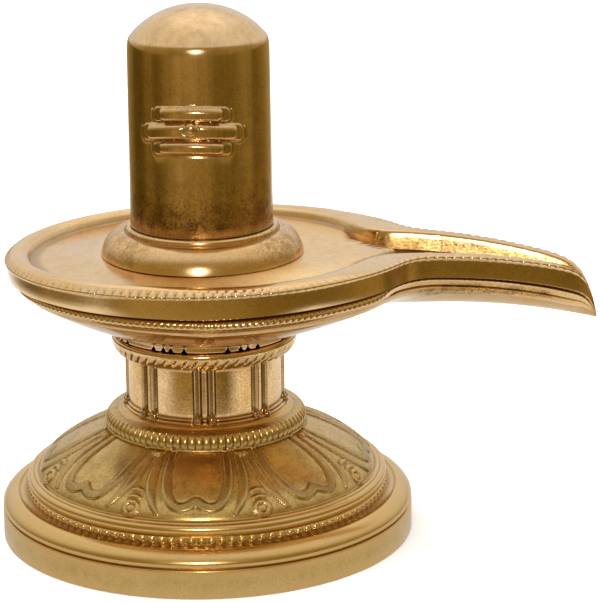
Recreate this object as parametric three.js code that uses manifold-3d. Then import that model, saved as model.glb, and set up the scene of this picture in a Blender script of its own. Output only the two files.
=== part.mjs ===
// A brass Shiva lingam about 103 mm tall: a domed shaft in a collar on a spouted yoni dish,
// which a short drum carries on a lotus base. Millimetres, +Z up, with the spout towards +X
// and the three bars of the shaft towards -Y. The origin is the middle of the foot's underside.
import * as THREE from 'three';
import { mergeVertices } from 'three/addons/utils/BufferGeometryUtils.js';
import Module from 'manifold-3d';

const wasm = await Module();
wasm.setup();

// Facets and fits
const FACETS = 48;
const CURVE_STEPS = 6;
const JOINT_GAP = 0.3;
const WELD = 1e-4;

// Heights where the pieces of the stack meet
const BASE_TOP = 25.2;
const DRUM_TOP = 39.8;
const DISH_SEAT = DRUM_TOP + JOINT_GAP;
const DISH_FLOOR = 55.3;
const COLLAR_TOP = 61.0;
const SHOULDER = 96.6;
const APEX = 103;

// Centre spigots and the sockets that take them
const DRUM_SPIGOT_RADIUS = 9;
const DRUM_SPIGOT_LENGTH = 5;
const SHAFT_SPIGOT_RADIUS = 6;
const SHAFT_SPIGOT_END = 34;
const SHAFT_BORE_RADIUS = SHAFT_SPIGOT_RADIUS + JOINT_GAP;

// Lotus base: foot band, ovolo, bead band and torus below the dome, gadrooned ring above it
const FOOT_OUTLINE = [
  [39.5, 0],
  [40, 0.5],
  [40, 5.3],
  [39.5, 5.6],
  [40, 6.4],
  [39.2, 7.8],
  [37, 8.8],
  [35.4, 8.6],
  [35, 10.1],
  [35, 11.2],
  [34.7, 11.9],
  [33.5, 12.4],
];
const DOME_CURVE = [[32.75, 12.6], [31.9, 14.9], [26.8, 18.3], [19.5, 21.2]];
const RING_OUTLINE = [
  [19.6, 22],
  [19.5, 23.2],
  [18.7, 24.2],
  [17, 24.6],
  [16.3, BASE_TOP],
];

// Neck drum: foot fillet, wall and the notched ring at its top
const DRUM_FOOT_RADIUS = 15.6;
const DRUM_WALL_RADIUS = 15;
const DRUM_FOOT_HEIGHT = 0.7;
const DRUM_WALL_TOP = 36.3;
const DRUM_RING_OUTLINE = [
  [17.5, 36.9],
  [18, 37.8],
  [17.8, 39],
  [17.4, DRUM_TOP],
];

// Yoni dish in plan: an oval back, shoulders that draw in, a tapering spout and a round nose
const DISH_BACK = -38;
const DISH_WIDEST_X = 2;
const DISH_HALF_WIDTH = 34.9;
const SHOULDER_CURVE = [[15, 34.9], [27, 27.9], [34, 20]];
const THROAT_CURVE = [[38.2, 15], [38.6, 10.9], [46, 10]];
const NOSE_START = [66, 5.5];
const NOSE_CURVE = [[70.2, 4.55], [75, 2.9], [75.7, 0]];
const PLAN_STEPS = 40;

// Yoni dish in height: the lip leans a little, then falls along the spout
const LIP_HEIGHT = 55.9;
const LIP_LEAN = 0.022;
const SPOUT_START = 34;
const SPOUT_TIP = 75.7;
const SPOUT_FALL = 6;
const SPOUT_BEND = 2.2;
const NOSE_FALL = 9.05;
const NOSE_SHARPNESS = 24;

// Yoni dish in section: inset from the plan and height from the lip, from the rope row to the lip's top
const WALL_SECTION = [
  [3.3, -8.6],
  [2.3, -7.2],
  [1.5, -6.2],
  [1.9, -5.2],
  [0.9, -4.7],
  [0.2, -3.2],
  [0, -0.6],
  [0.4, 0.2],
  [1.2, 0.6],
];
const WALL_DEPTH = 8.7;
const BACK_INSET = 1.2;
const BACK_WALL_SCALE = 0.8;
const SPOUT_WALL_SCALE = 0.91;
const NOSE_WALL_SCALE = 0.04;
const NOSE_CLOSING_POWER = 4;
const LIP_WIDTH_DISH = 4.2;
const LIP_WIDTH_SPOUT = 2.8;
const NOSE_INSET_SCALE = 0.5;
const LIP_INNER_RISE = 0.5;
const INNER_SLOPE = 1.4;
const FLOOR_DROP = 0.75;
const CHANNEL_DEPTH = 3.5;
const CHANNEL_SHALLOWING_POWER = 6;
const CHANNEL_START = 30;
const CHANNEL_END = 37;

// Yoni dish underneath: a shallow bowl down to the seat and a keel under the spout
const SEAT_RADIUS = 17.8;
const SPUR_START = 36;
const KEEL_RISE = 4.6;
const KEEL_RISE_LENGTH = 6.5;
const KEEL_DROP = 3.1;
const KEEL_DROP_START = 45;
const KEEL_TIP = 74.3;
const CHANNEL_TIP = 72.5;
const BELLY_PLACE = 0.5;
const BELLY_SAG = 0.4;

// Collar ring: a quarter-round under a small fillet
const COLLAR_RADIUS = 19.4;
const COLLAR_CURVE = [[19.4, 55.9], [19.2, 58.4], [17.3, 59.9], [14.9, 60.0]];
const COLLAR_FILLET = [[14.8, 60.6], [14.2, COLLAR_TOP]];

// Lingam: the shaft with its dome, and the three bars and the dot on its front
const SHAFT_FOOT_RADIUS = 13.65;
const SHAFT_TOP_RADIUS = 13.45;
const SHOULDER_ROUND = 1.3;
const LINGAM_DOME_CURVE = [[13.2, SHOULDER], [11.2, 99.2], [6.5, 102.9], [0, APEX]];
const BARS = [
  { low: 76.5, high: 80.2, halfAngle: 33.5 },
  { low: 80.3, high: 83.6, halfAngle: 45.5 },
  { low: 83.7, high: 86.4, halfAngle: 33 },
];
const BAR_FACE_RADIUS = 14.2;
const BAR_ROOT_RADIUS = 12.5;
const BAR_STEPS = 8;
const MARK_TURN = -95;
const DOT_RADIUS = 1.6;
const DOT_SINK = 0.9;
const DOT_HEIGHT = 82;

const rad = THREE.MathUtils.degToRad;
const clamp01 = (value) => THREE.MathUtils.clamp(value, 0, 1);

function ease(value, from, to) {
  return THREE.MathUtils.smoothstep(value, from, to);
}

// Points along a cubic curve given by its four control points, the first one left out
function curvePoints(controls) {
  const ends = controls.map(([x, y]) => new THREE.Vector2(x, y));
  const points = new THREE.CubicBezierCurve(...ends).getPoints(CURVE_STEPS);
  return points.slice(1).map((p) => [p.x, p.y]);
}

// A solid of revolution about +Z from [radius, height] pairs that run upwards on the outside
function turned(outline) {
  const profile = outline.map(([r, z]) => new THREE.Vector2(r, z));
  const geometry = new THREE.LatheGeometry(profile, FACETS);
  return geometry.rotateX(Math.PI / 2);
}

function toSolid(geometry) {
  const bare = geometry.clone();
  bare.deleteAttribute('normal');
  bare.deleteAttribute('uv');
  const merged = mergeVertices(bare, WELD);
  const vertProperties = new Float32Array(merged.attributes.position.array);
  const triVerts = new Uint32Array(merged.index.array);
  return new wasm.Manifold(new wasm.Mesh({ numProp: 3, vertProperties, triVerts }));
}

function toGeometry(solid) {
  const mesh = solid.getMesh();
  const geometry = new THREE.BufferGeometry();
  geometry.setAttribute('position', new THREE.BufferAttribute(mesh.vertProperties, 3));
  geometry.setIndex(new THREE.BufferAttribute(mesh.triVerts, 1));
  geometry.computeVertexNormals();
  return geometry;
}

function lotusBase() {
  const socketRadius = DRUM_SPIGOT_RADIUS + JOINT_GAP;
  const socketFloor = BASE_TOP - DRUM_SPIGOT_LENGTH - JOINT_GAP;
  return turned([
    [0, 0],
    ...FOOT_OUTLINE,
    DOME_CURVE[0],
    ...curvePoints(DOME_CURVE),
    ...RING_OUTLINE,
    [socketRadius, BASE_TOP],
    [socketRadius, socketFloor],
    [0, socketFloor],
  ]);
}

function neckDrum() {
  const foot = BASE_TOP + JOINT_GAP;
  const spigotEnd = foot - DRUM_SPIGOT_LENGTH;
  const socketFloor = SHAFT_SPIGOT_END - JOINT_GAP;
  return turned([
    [0, spigotEnd],
    [DRUM_SPIGOT_RADIUS, spigotEnd],
    [DRUM_SPIGOT_RADIUS, foot],
    [DRUM_FOOT_RADIUS, foot],
    [DRUM_WALL_RADIUS, foot + DRUM_FOOT_HEIGHT],
    [DRUM_WALL_RADIUS, DRUM_WALL_TOP],
    ...DRUM_RING_OUTLINE,
    [SHAFT_BORE_RADIUS, DRUM_TOP],
    [SHAFT_BORE_RADIUS, socketFloor],
    [0, socketFloor],
  ]);
}

function collarRing() {
  const underside = DISH_FLOOR + JOINT_GAP;
  return turned([
    [SHAFT_BORE_RADIUS, underside],
    [COLLAR_RADIUS, underside],
    COLLAR_CURVE[0],
    ...curvePoints(COLLAR_CURVE),
    ...COLLAR_FILLET,
    [SHAFT_BORE_RADIUS, COLLAR_TOP],
    [SHAFT_BORE_RADIUS, underside],
  ]);
}

// One bar: a curved block round the front of the shaft
function bar({ low, high, halfAngle }) {
  const reach = rad(halfAngle);
  const shape = new THREE.Shape();
  shape.absarc(0, 0, BAR_FACE_RADIUS, -reach, reach, false);
  shape.absarc(0, 0, BAR_ROOT_RADIUS, reach, -reach, true);
  const settings = { depth: high - low, bevelEnabled: false, curveSegments: BAR_STEPS };
  const block = new THREE.ExtrudeGeometry(shape, settings);
  return block.rotateZ(rad(MARK_TURN)).translate(0, 0, low);
}

function lingam() {
  const foot = COLLAR_TOP + JOINT_GAP;
  const shaft = turned([
    [0, SHAFT_SPIGOT_END],
    [SHAFT_SPIGOT_RADIUS, SHAFT_SPIGOT_END],
    [SHAFT_SPIGOT_RADIUS, foot],
    [SHAFT_FOOT_RADIUS, foot],
    [SHAFT_TOP_RADIUS, SHOULDER - SHOULDER_ROUND],
    LINGAM_DOME_CURVE[0],
    ...curvePoints(LINGAM_DOME_CURVE),
  ]);
  const dot = new THREE.SphereGeometry(DOT_RADIUS, BAR_STEPS, BAR_STEPS);
  dot.translate(BAR_FACE_RADIUS - DOT_SINK, 0, 0).rotateZ(rad(MARK_TURN)).translate(0, 0, DOT_HEIGHT);
  const marks = [...BARS.map(bar), dot];
  const whole = marks.reduce((solid, mark) => solid.add(toSolid(mark)), toSolid(shaft));
  return toGeometry(whole);
}

// Half of the dish's plan, from the nose of the spout to the back
function halfPlan() {
  const path = new THREE.Path();
  path.moveTo(DISH_BACK, 0);
  path.absellipse(DISH_WIDEST_X, 0, DISH_WIDEST_X - DISH_BACK, DISH_HALF_WIDTH, Math.PI, Math.PI / 2, true);
  path.bezierCurveTo(...SHOULDER_CURVE.flat());
  path.bezierCurveTo(...THROAT_CURVE.flat());
  path.lineTo(...NOSE_START);
  path.bezierCurveTo(...NOSE_CURVE.flat());
  return path.getSpacedPoints(PLAN_STEPS).reverse();
}

function alongSpout(x) {
  return clamp01((x - SPOUT_START) / (SPOUT_TIP - SPOUT_START));
}

function lipHeight(x) {
  const along = alongSpout(x);
  const level = LIP_HEIGHT + LIP_LEAN * Math.min(x, SPOUT_START);
  return level - SPOUT_FALL * along ** SPOUT_BEND - NOSE_FALL * along ** NOSE_SHARPNESS;
}

// 0 along the front half of the dish, 1 at its back
function backShare(x) {
  return clamp01((DISH_WIDEST_X - x) / (DISH_WIDEST_X - DISH_BACK));
}

// The wall is lower along the spout and at the back, and nearly closes at the nose
function wallScale(x) {
  const back = (1 - BACK_WALL_SCALE) * backShare(x);
  const spout = (1 - SPOUT_WALL_SCALE) * ease(x, CHANNEL_START, THROAT_CURVE[2][0]);
  const nose = clamp01((x - NOSE_START[0]) / (SPOUT_TIP - NOSE_START[0]));
  return 1 - back - spout - (SPOUT_WALL_SCALE - NOSE_WALL_SCALE) * nose ** NOSE_CLOSING_POWER;
}

function insetScale(x) {
  return 1 - (1 - NOSE_INSET_SCALE) * ease(x, THROAT_CURVE[2][0], SPOUT_TIP);
}

function lipWidth(x) {
  const narrowing = ease(x, DISH_WIDEST_X, THROAT_CURVE[2][0]);
  return THREE.MathUtils.lerp(LIP_WIDTH_DISH, LIP_WIDTH_SPOUT, narrowing);
}

// The floor beside the lip: the dish's own, then the deeper channel of the spout
function floorHeight(x) {
  const depth = CHANNEL_DEPTH * (1 - alongSpout(x) ** CHANNEL_SHALLOWING_POWER);
  return THREE.MathUtils.lerp(
    lipHeight(x) - FLOOR_DROP,
    lipHeight(x) - depth,
    ease(x, CHANNEL_START, CHANNEL_END),
  );
}

function keelHeight(x) {
  const rise = KEEL_RISE * (1 - Math.exp(-(x - SEAT_RADIUS) / KEEL_RISE_LENGTH));
  const drop = clamp01((x - KEEL_DROP_START) / (KEEL_TIP - KEEL_DROP_START));
  return DISH_SEAT + rise - KEEL_DROP * drop ** 2;
}

function channelHeight(x) {
  return x < CHANNEL_START ? DISH_FLOOR : Math.min(DISH_FLOOR, floorHeight(x));
}

// The other half of a ring is its mirror image in Y
function mirrored(half) {
  const back = half.slice(1, -1).reverse();
  return [...half, ...back.map((p) => new THREE.Vector3(p.x, -p.y, p.z))];
}

function yoniDish() {
  const plan = halfPlan();
  const last = plan.length - 1;
  const split = plan.findIndex((p) => p.x < SPUR_START);
  const splitAngle = plan[split].angle();
  const inward = plan.map((p, i) => {
    const before = i > 0 ? plan[i - 1] : new THREE.Vector2(plan[1].x, -plan[1].y);
    const after = i < last ? plan[i + 1] : new THREE.Vector2(plan[last - 1].x, -plan[last - 1].y);
    return new THREE.Vector2(before.y - after.y, after.x - before.x).normalize();
  });

  // A ring that follows the plan, inset and at a height given for each x
  const planRing = (insetAt, heightAt) =>
    mirrored(
      plan.map((p, i) => {
        const inset = insetAt(p.x) * insetScale(p.x);
        return new THREE.Vector3(p.x + inward[i].x * inset, p.y + inward[i].y * inset, heightAt(p.x));
      }),
    );

  // A ring that runs along the middle of the spout, then round a circle
  const middleRing = (radius, circleHeight, tip, heightAt) =>
    mirrored(
      plan.map((p, i) => {
        if (i < split) {
          const x = THREE.MathUtils.mapLinear(p.x, plan[0].x, plan[split].x, tip, radius);
          return new THREE.Vector3(x, 0, heightAt(x));
        }
        const bearing = i === last ? Math.PI : p.angle();
        const angle = THREE.MathUtils.mapLinear(bearing, splitAngle, Math.PI, 0, Math.PI);
        return new THREE.Vector3(radius * Math.cos(angle), radius * Math.sin(angle), circleHeight);
      }),
    );

  const seat = middleRing(SEAT_RADIUS, DISH_SEAT, KEEL_TIP, keelHeight);
  const walls = WALL_SECTION.map(([inset, rise]) =>
    planRing(
      (x) => inset + (BACK_INSET * backShare(x) * Math.max(-rise, 0)) / WALL_DEPTH,
      (x) => lipHeight(x) + rise * wallScale(x),
    ),
  );
  const lipInner = planRing(lipWidth, (x) => lipHeight(x) + LIP_INNER_RISE * wallScale(x));
  const floorEdge = planRing((x) => lipWidth(x) + INNER_SLOPE, floorHeight);
  const floor = middleRing(COLLAR_RADIUS, DISH_FLOOR, CHANNEL_TIP, channelHeight);
  const belly = seat.map((p, i) => {
    const middle = p.clone().lerp(walls[0][i], BELLY_PLACE);
    middle.z -= BELLY_SAG * ease(p.x, SEAT_RADIUS, SPUR_START) * wallScale(p.x);
    return middle;
  });
  const rings = [seat, belly, ...walls, lipInner, floorEdge, floor];

  const triangles = [];
  const join = (lower, upper, from, to) => {
    for (let i = from; i < to; i += 1) {
      const next = (i + 1) % lower.length;
      triangles.push(lower[i], lower[next], upper[next], lower[i], upper[next], upper[i]);
    }
  };
  for (let k = 0; k + 1 < rings.length; k += 1) {
    join(rings[k], rings[k + 1], 0, seat.length);
  }
  const bore = (height) => middleRing(SHAFT_BORE_RADIUS, height, SHAFT_BORE_RADIUS, () => height);
  const boreLow = bore(DISH_SEAT);
  const boreHigh = bore(DISH_FLOOR);
  const end = seat.length - split;
  join(boreLow, seat, split, end);
  join(floor, boreHigh, split, end);
  join(boreHigh, boreLow, split, end);

  const geometry = new THREE.BufferGeometry().setFromPoints(triangles);
  return toGeometry(toSolid(geometry));
}

// Brass finishes: darker on the shaft, paler where the dish is polished
function brass(colour, roughness) {
  return new THREE.MeshStandardMaterial({ color: colour, metalness: 1, roughness });
}

const pieces = {
  lotus_base: new THREE.Mesh(lotusBase(), brass(0xb08d4c, 0.32)),
  neck_drum: new THREE.Mesh(neckDrum(), brass(0xc29a5c, 0.3)),
  yoni_dish: new THREE.Mesh(yoniDish(), brass(0xc8a468, 0.28)),
  collar_ring: new THREE.Mesh(collarRing(), brass(0xc4a05e, 0.25)),
  lingam: new THREE.Mesh(lingam(), brass(0x9a7438, 0.34)),
};

const shivaLingam = new THREE.Group();
for (const [name, mesh] of Object.entries(pieces)) {
  mesh.name = name;
  shivaLingam.add(mesh);
}

export default shivaLingam;
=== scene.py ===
"""A cast brass Shiva lingam on a spouted dish, a pilastered drum and a lotus base, in metres, +Z up."""

from math import cos, pi, radians, sin

import bpy
import numpy as np
from bpy.props import FloatProperty, FloatVectorProperty, IntProperty, PointerProperty
from mathutils import Euler, Matrix, Vector


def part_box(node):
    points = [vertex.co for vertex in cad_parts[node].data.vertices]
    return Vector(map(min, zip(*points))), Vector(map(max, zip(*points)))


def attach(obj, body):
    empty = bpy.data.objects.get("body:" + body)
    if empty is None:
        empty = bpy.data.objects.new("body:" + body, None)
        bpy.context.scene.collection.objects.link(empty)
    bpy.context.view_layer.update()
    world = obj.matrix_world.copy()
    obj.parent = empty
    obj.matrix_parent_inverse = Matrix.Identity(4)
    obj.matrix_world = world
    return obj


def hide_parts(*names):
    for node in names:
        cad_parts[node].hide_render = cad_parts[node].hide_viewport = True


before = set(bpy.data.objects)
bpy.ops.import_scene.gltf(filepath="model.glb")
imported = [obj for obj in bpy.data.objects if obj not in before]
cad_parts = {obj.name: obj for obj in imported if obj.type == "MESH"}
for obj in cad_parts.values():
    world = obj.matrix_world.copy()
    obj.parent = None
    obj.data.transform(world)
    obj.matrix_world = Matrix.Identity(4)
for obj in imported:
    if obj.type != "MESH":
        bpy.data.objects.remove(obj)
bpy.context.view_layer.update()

bl_info = {
    "name": "Brass Shiva Lingam",
    "version": (1, 0, 0),
    "blender": (4, 5, 0),
    "location": "View3D > Sidebar > Lingam",
    "description": "Models a cast brass lingam with its dish, drum and lotus base, and the stage for it",
    "category": "Add Mesh",
}

MM = 0.001
WELD = 1e-6
FULL_TURN = 2 * pi
FRONT = -pi / 2


# Sizes and colours that a user would change

class LingamSizes(bpy.types.PropertyGroup):
    """Sizes of the domed shaft and the mark on its front"""

    foot_radius: FloatProperty(
        name="Foot radius", description="Radius of the shaft at its foot",
        default=13.65 * MM, unit="LENGTH")
    top_radius: FloatProperty(
        name="Top radius", description="Radius of the shaft below its shoulder",
        default=13.4 * MM, unit="LENGTH")
    foot_height: FloatProperty(
        name="Foot height", description="Height where the shaft leaves the collar",
        default=61.0 * MM, unit="LENGTH")
    shoulder_height: FloatProperty(
        name="Shoulder height", description="Height where the dome begins",
        default=96.9 * MM, unit="LENGTH")
    apex_height: FloatProperty(
        name="Apex height", description="Height of the top of the dome",
        default=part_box("lingam")[1].z, unit="LENGTH")
    mark_turn: FloatProperty(
        name="Mark turn", description="How far the mark is turned from straight ahead",
        default=radians(-5), subtype="ANGLE")
    bar_relief: FloatProperty(
        name="Bar relief", description="How far the three bars stand out",
        default=0.9 * MM, unit="LENGTH")
    dot_radius: FloatProperty(
        name="Dot radius", description="Radius of the round dot on the middle bar",
        default=1.35 * MM, unit="LENGTH")


class CollarSizes(bpy.types.PropertyGroup):
    """Sizes of the ring round the shaft's foot"""

    radius: FloatProperty(
        name="Radius", description="Radius of the quarter-round on the dish floor",
        default=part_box("collar_ring")[1].x, unit="LENGTH")
    bore: FloatProperty(
        name="Bore", description="Radius of the hole through the ring",
        default=6.3 * MM, unit="LENGTH")
    top: FloatProperty(
        name="Top", description="Height of the ring's upper face",
        default=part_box("collar_ring")[1].z, unit="LENGTH")


class DishSizes(bpy.types.PropertyGroup):
    """Sizes of the oval dish and its spout"""

    back: FloatProperty(
        name="Back", description="Where the oval ends behind the shaft",
        default=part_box("yoni_dish")[0].x, unit="LENGTH")
    half_width: FloatProperty(
        name="Half width", description="Half the width of the oval",
        default=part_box("yoni_dish")[1].y, unit="LENGTH")
    spout_tip: FloatProperty(
        name="Spout tip", description="How far the spout reaches",
        default=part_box("yoni_dish")[1].x, unit="LENGTH")
    lip_height: FloatProperty(
        name="Lip height", description="Height of the lip's outer edge beside the shaft",
        default=55.9 * MM, unit="LENGTH")
    floor_height: FloatProperty(
        name="Floor height", description="Height of the floor under the collar",
        default=55.3 * MM, unit="LENGTH")
    seat_height: FloatProperty(
        name="Seat height", description="Height of the flat seat on the drum",
        default=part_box("yoni_dish")[0].z, unit="LENGTH")
    seat_radius: FloatProperty(
        name="Seat radius", description="Radius of the seat on the drum",
        default=17.8 * MM, unit="LENGTH")
    bead_pitch: FloatProperty(
        name="Bead pitch", description="Distance between the beads of the lip",
        default=1.7 * MM, unit="LENGTH")
    rope_pitch: FloatProperty(
        name="Rope pitch", description="Distance between the strands of the rope row",
        default=1.25 * MM, unit="LENGTH")


class DrumSizes(bpy.types.PropertyGroup):
    """Sizes of the short drum"""

    foot_height: FloatProperty(
        name="Foot height", description="Height of the drum's underside",
        default=25.2 * MM, unit="LENGTH")
    top_height: FloatProperty(
        name="Top height", description="Height of the drum's upper face",
        default=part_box("neck_drum")[1].z, unit="LENGTH")
    wall_radius: FloatProperty(
        name="Wall radius", description="Radius of the plain wall",
        default=15.0 * MM, unit="LENGTH")
    ring_radius: FloatProperty(
        name="Ring radius", description="Radius of the notched ring",
        default=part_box("neck_drum")[1].x, unit="LENGTH")
    pilaster_pairs: IntProperty(
        name="Pilaster pairs", description="Pairs of upright ribs round the wall", default=8)
    notches: IntProperty(
        name="Notches", description="Lobes round the upper ring", default=56)


class BaseSizes(bpy.types.PropertyGroup):
    """Sizes of the lotus base"""

    foot_radius: FloatProperty(
        name="Foot radius", description="Radius of the foot band",
        default=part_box("lotus_base")[1].x, unit="LENGTH")
    top_height: FloatProperty(
        name="Top height", description="Height of the flat seat under the drum",
        default=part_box("lotus_base")[1].z, unit="LENGTH")
    turn: FloatProperty(
        name="Turn", description="How far the front petal is turned from straight ahead",
        default=radians(-2), subtype="ANGLE")
    petals: IntProperty(name="Petals", description="Petals round the dome", default=8)
    ribs: IntProperty(name="Ribs", description="Ribs round the gadrooned ring", default=84)
    beads: IntProperty(name="Beads", description="Beads round the foot", default=116)


class BrassColours(bpy.types.PropertyGroup):
    """Colours of the brass, from polished to tarnished"""

    polished: FloatVectorProperty(
        name="Polished", description="Rubbed brass on edges and open faces",
        default=(0.86, 0.59, 0.31), subtype="COLOR", size=3)
    golden: FloatVectorProperty(
        name="Golden", description="Brass with a thin warm tarnish",
        default=(0.84, 0.49, 0.15), subtype="COLOR", size=3)
    dull: FloatVectorProperty(
        name="Dull", description="Brass that is seldom rubbed, on the lotus base",
        default=(0.74, 0.47, 0.18), subtype="COLOR", size=3)
    olive: FloatVectorProperty(
        name="Olive", description="Brass with an older greenish tarnish",
        default=(0.66, 0.46, 0.13), subtype="COLOR", size=3)
    # This colour, at a third of its strength, is also the colour of the painted shade
    grooves: FloatVectorProperty(
        name="Grooves", description="Dark deposit left in the hollows",
        default=(0.20, 0.10, 0.035), subtype="COLOR", size=3)


class StageSettings(bpy.types.PropertyGroup):
    """The camera's place and the floor"""

    aim: FloatVectorProperty(
        name="Aim", description="Point in the middle of the picture",
        default=(18.54 * MM, 0, 45.02 * MM), subtype="TRANSLATION", size=3)
    distance: FloatProperty(
        name="Distance", description="Distance from the camera to its aim",
        default=500 * MM, unit="LENGTH")
    pitch: FloatProperty(
        name="Pitch", description="How far the camera looks down",
        default=radians(15.8), subtype="ANGLE")
    roll: FloatProperty(
        name="Roll", description="How far the camera is tipped sideways",
        default=radians(-0.65), subtype="ANGLE")
    lens: FloatProperty(
        name="Lens", description="Focal length in millimetres on a 36 mm wide sensor", default=155.8)
    floor_colour: FloatVectorProperty(
        name="Floor colour", description="Colour of the floor",
        default=(0.9, 0.9, 0.9), subtype="COLOR", size=3)


class BrassLingamSettings(bpy.types.PropertyGroup):
    """All settings of the brass lingam"""

    lingam: PointerProperty(type=LingamSizes)
    collar: PointerProperty(type=CollarSizes)
    dish: PointerProperty(type=DishSizes)
    drum: PointerProperty(type=DrumSizes)
    base: PointerProperty(type=BaseSizes)
    colours: PointerProperty(type=BrassColours)
    stage: PointerProperty(type=StageSettings)


# Outlines, in millimetres

def ease(value, low, high):
    """A smooth step from 0 at low to 1 at high"""
    t = np.clip((np.asarray(value, float) - low) / (high - low), 0, 1)
    return t * t * (3 - 2 * t)


def mix(a, b, share):
    return a + (b - a) * share


def quarter_round(share):
    """Rises from 0 to 1 as a quarter of a circle"""
    return np.sqrt(1 - (1 - share) ** 2)


def half_round(away):
    """Rises from 0 at 1 and beyond to 1 at 0 as half a circle"""
    return np.sqrt(np.maximum(1 - away ** 2, 0))


def bell(away):
    """A soft bell, 1 at 0"""
    return np.exp(-away ** 2)


LOBE_SHARPNESS = 0.96


def between_lobes(lobe):
    """0 on the middle of a round lobe, near 1 where it meets the next, at places from -1 to 1 on it"""
    return 1 - half_round(LOBE_SHARPNESS * lobe)


def straight(start, end, steps):
    """Points of a straight line after its start"""
    shares = np.linspace(0, 1, steps + 1)[1:]
    return [(mix(start[0], end[0], t), mix(start[1], end[1], t)) for t in shares]


def curve(controls, steps):
    """Points of a cubic curve after its start, from four control points"""
    a, b, c, d = (np.array(p, float) for p in controls)
    t = np.linspace(0, 1, steps + 1)[1:, None]
    points = (1 - t) ** 3 * a + 3 * (1 - t) ** 2 * t * b + 3 * (1 - t) * t * t * c + t ** 3 * d
    return [tuple(p) for p in points]


def bow(start, end, swell, steps):
    """Points of a round bow after its start. A positive swell is to the right of the way ahead"""
    start, end = np.array(start, float), np.array(end, float)
    chord = np.linalg.norm(end - start)
    ahead = (end - start) / chord
    aside = np.array((ahead[1], -ahead[0])) * np.sign(swell)
    radius = (chord ** 2 / 4 + swell ** 2) / (2 * abs(swell))
    half = np.arcsin(min(1, chord / (2 * radius)))
    points = []
    for angle in np.linspace(-half, half, steps + 1)[1:]:
        along = chord / 2 + radius * sin(angle)
        out = radius * (cos(angle) - cos(half))
        points.append(tuple(start + ahead * along + aside * out))
    return points


def offset(corner, *points):
    """Places from their offsets from a corner"""
    return [(corner[0] + x, corner[1] + y) for x, y in points]


# Modelling

def deselect_all():
    if bpy.context.object and bpy.context.object.mode != "OBJECT":
        bpy.ops.object.mode_set(mode="OBJECT")
    bpy.ops.object.select_all(action="DESELECT")


def make_active(piece):
    deselect_all()
    piece.select_set(True)
    bpy.context.view_layer.objects.active = piece


def rename(piece, name):
    piece.name = name
    piece.data.name = name


def close_and_turn_out(piece):
    """Merges what coincides and points all faces outwards"""
    make_active(piece)
    bpy.ops.object.mode_set(mode="EDIT")
    bpy.ops.mesh.select_all(action="SELECT")
    bpy.ops.mesh.remove_doubles(threshold=WELD)
    bpy.ops.mesh.normals_make_consistent(inside=False)
    bpy.ops.object.mode_set(mode="OBJECT")


def turn_outline(name, outline, steps):
    """Draws an outline of (radius, height) in millimetres and turns it round Z into a closed body"""
    deselect_all()
    bpy.ops.mesh.primitive_plane_add(size=MM)
    piece = bpy.context.object
    rename(piece, name)
    bpy.ops.object.mode_set(mode="EDIT")
    bpy.ops.mesh.merge(type="CENTER")
    points = [Vector((r, 0, z)) * MM for r, z in outline]
    bpy.ops.transform.translate(value=points[0])
    for here, there in zip(points, points[1:]):
        bpy.ops.mesh.extrude_region_move(TRANSFORM_OT_translate={"value": there - here})
    bpy.ops.object.mode_set(mode="OBJECT")
    turning = piece.modifiers.new("turning", "SCREW")
    turning.axis = "Z"
    turning.angle = FULL_TURN
    turning.steps = steps
    turning.render_steps = steps
    turning.use_merge_vertices = True
    turning.merge_threshold = WELD
    bpy.ops.object.modifier_apply(modifier=turning.name)
    close_and_turn_out(piece)
    return piece


def vertex_array(piece):
    points = np.empty(len(piece.data.vertices) * 3)
    piece.data.vertices.foreach_get("co", points)
    return points.reshape(-1, 3)


def normal_array(piece):
    normals = np.empty(len(piece.data.vertices) * 3, np.float32)
    piece.data.vertex_normals.foreach_get("vector", normals)
    return normals.reshape(-1, 3).astype(float)


def cylinder_places(piece):
    """Angle, radius and height of each vertex, the last two in millimetres"""
    points = vertex_array(piece)
    angle = np.arctan2(points[:, 1], points[:, 0])
    return angle, np.hypot(points[:, 0], points[:, 1]) / MM, points[:, 2] / MM


def raise_relief(piece, rise):
    """Moves each vertex out along its normal by its own rise, in millimetres"""
    points = vertex_array(piece) + normal_array(piece) * rise[:, None] * MM
    piece.data.vertices.foreach_set("co", points.ravel())
    piece.data.update()


def copy_to_places(name, template, places):
    """One mesh that holds a copy of the template for each place, a turn and a shift"""
    corners = vertex_array(template)
    sides = [tuple(face.vertices) for face in template.data.polygons]
    points = np.concatenate([corners @ turn.T + shift for turn, shift in places])
    faces = [
        tuple(v + k * len(corners) for v in side)
        for k in range(len(places)) for side in sides
    ]
    mesh = bpy.data.meshes.new(name)
    mesh.from_pydata(points.tolist(), [], faces)
    row = bpy.data.objects.new(name, mesh)
    bpy.context.scene.collection.objects.link(row)
    bpy.data.objects.remove(template)
    return row


def bead(name, half_sizes, segments, rings):
    """A round bead with few faces, to be copied"""
    deselect_all()
    bpy.ops.mesh.primitive_uv_sphere_add(segments=segments, ring_count=rings, radius=MM)
    piece = bpy.context.object
    rename(piece, name)
    bpy.ops.object.mode_set(mode="EDIT")
    bpy.ops.transform.resize(value=half_sizes)
    bpy.ops.object.mode_set(mode="OBJECT")
    return piece


def unite(body, addition):
    """Joins a closed addition into a closed body"""
    make_active(body)
    union = body.modifiers.new("union", "BOOLEAN")
    union.operation = "UNION"
    union.solver = "MANIFOLD"
    union.object = addition
    before = len(body.data.polygons)
    bpy.ops.object.modifier_apply(modifier=union.name)
    bpy.data.objects.remove(addition)
    if len(body.data.polygons) <= before:
        raise RuntimeError(f"{body.name}: the addition was not joined")


def store_on_vertices(piece, name, values):
    attribute = piece.data.attributes.new(name, "FLOAT", "POINT")
    attribute.data.foreach_set("value", np.asarray(values, np.float32))


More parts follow.
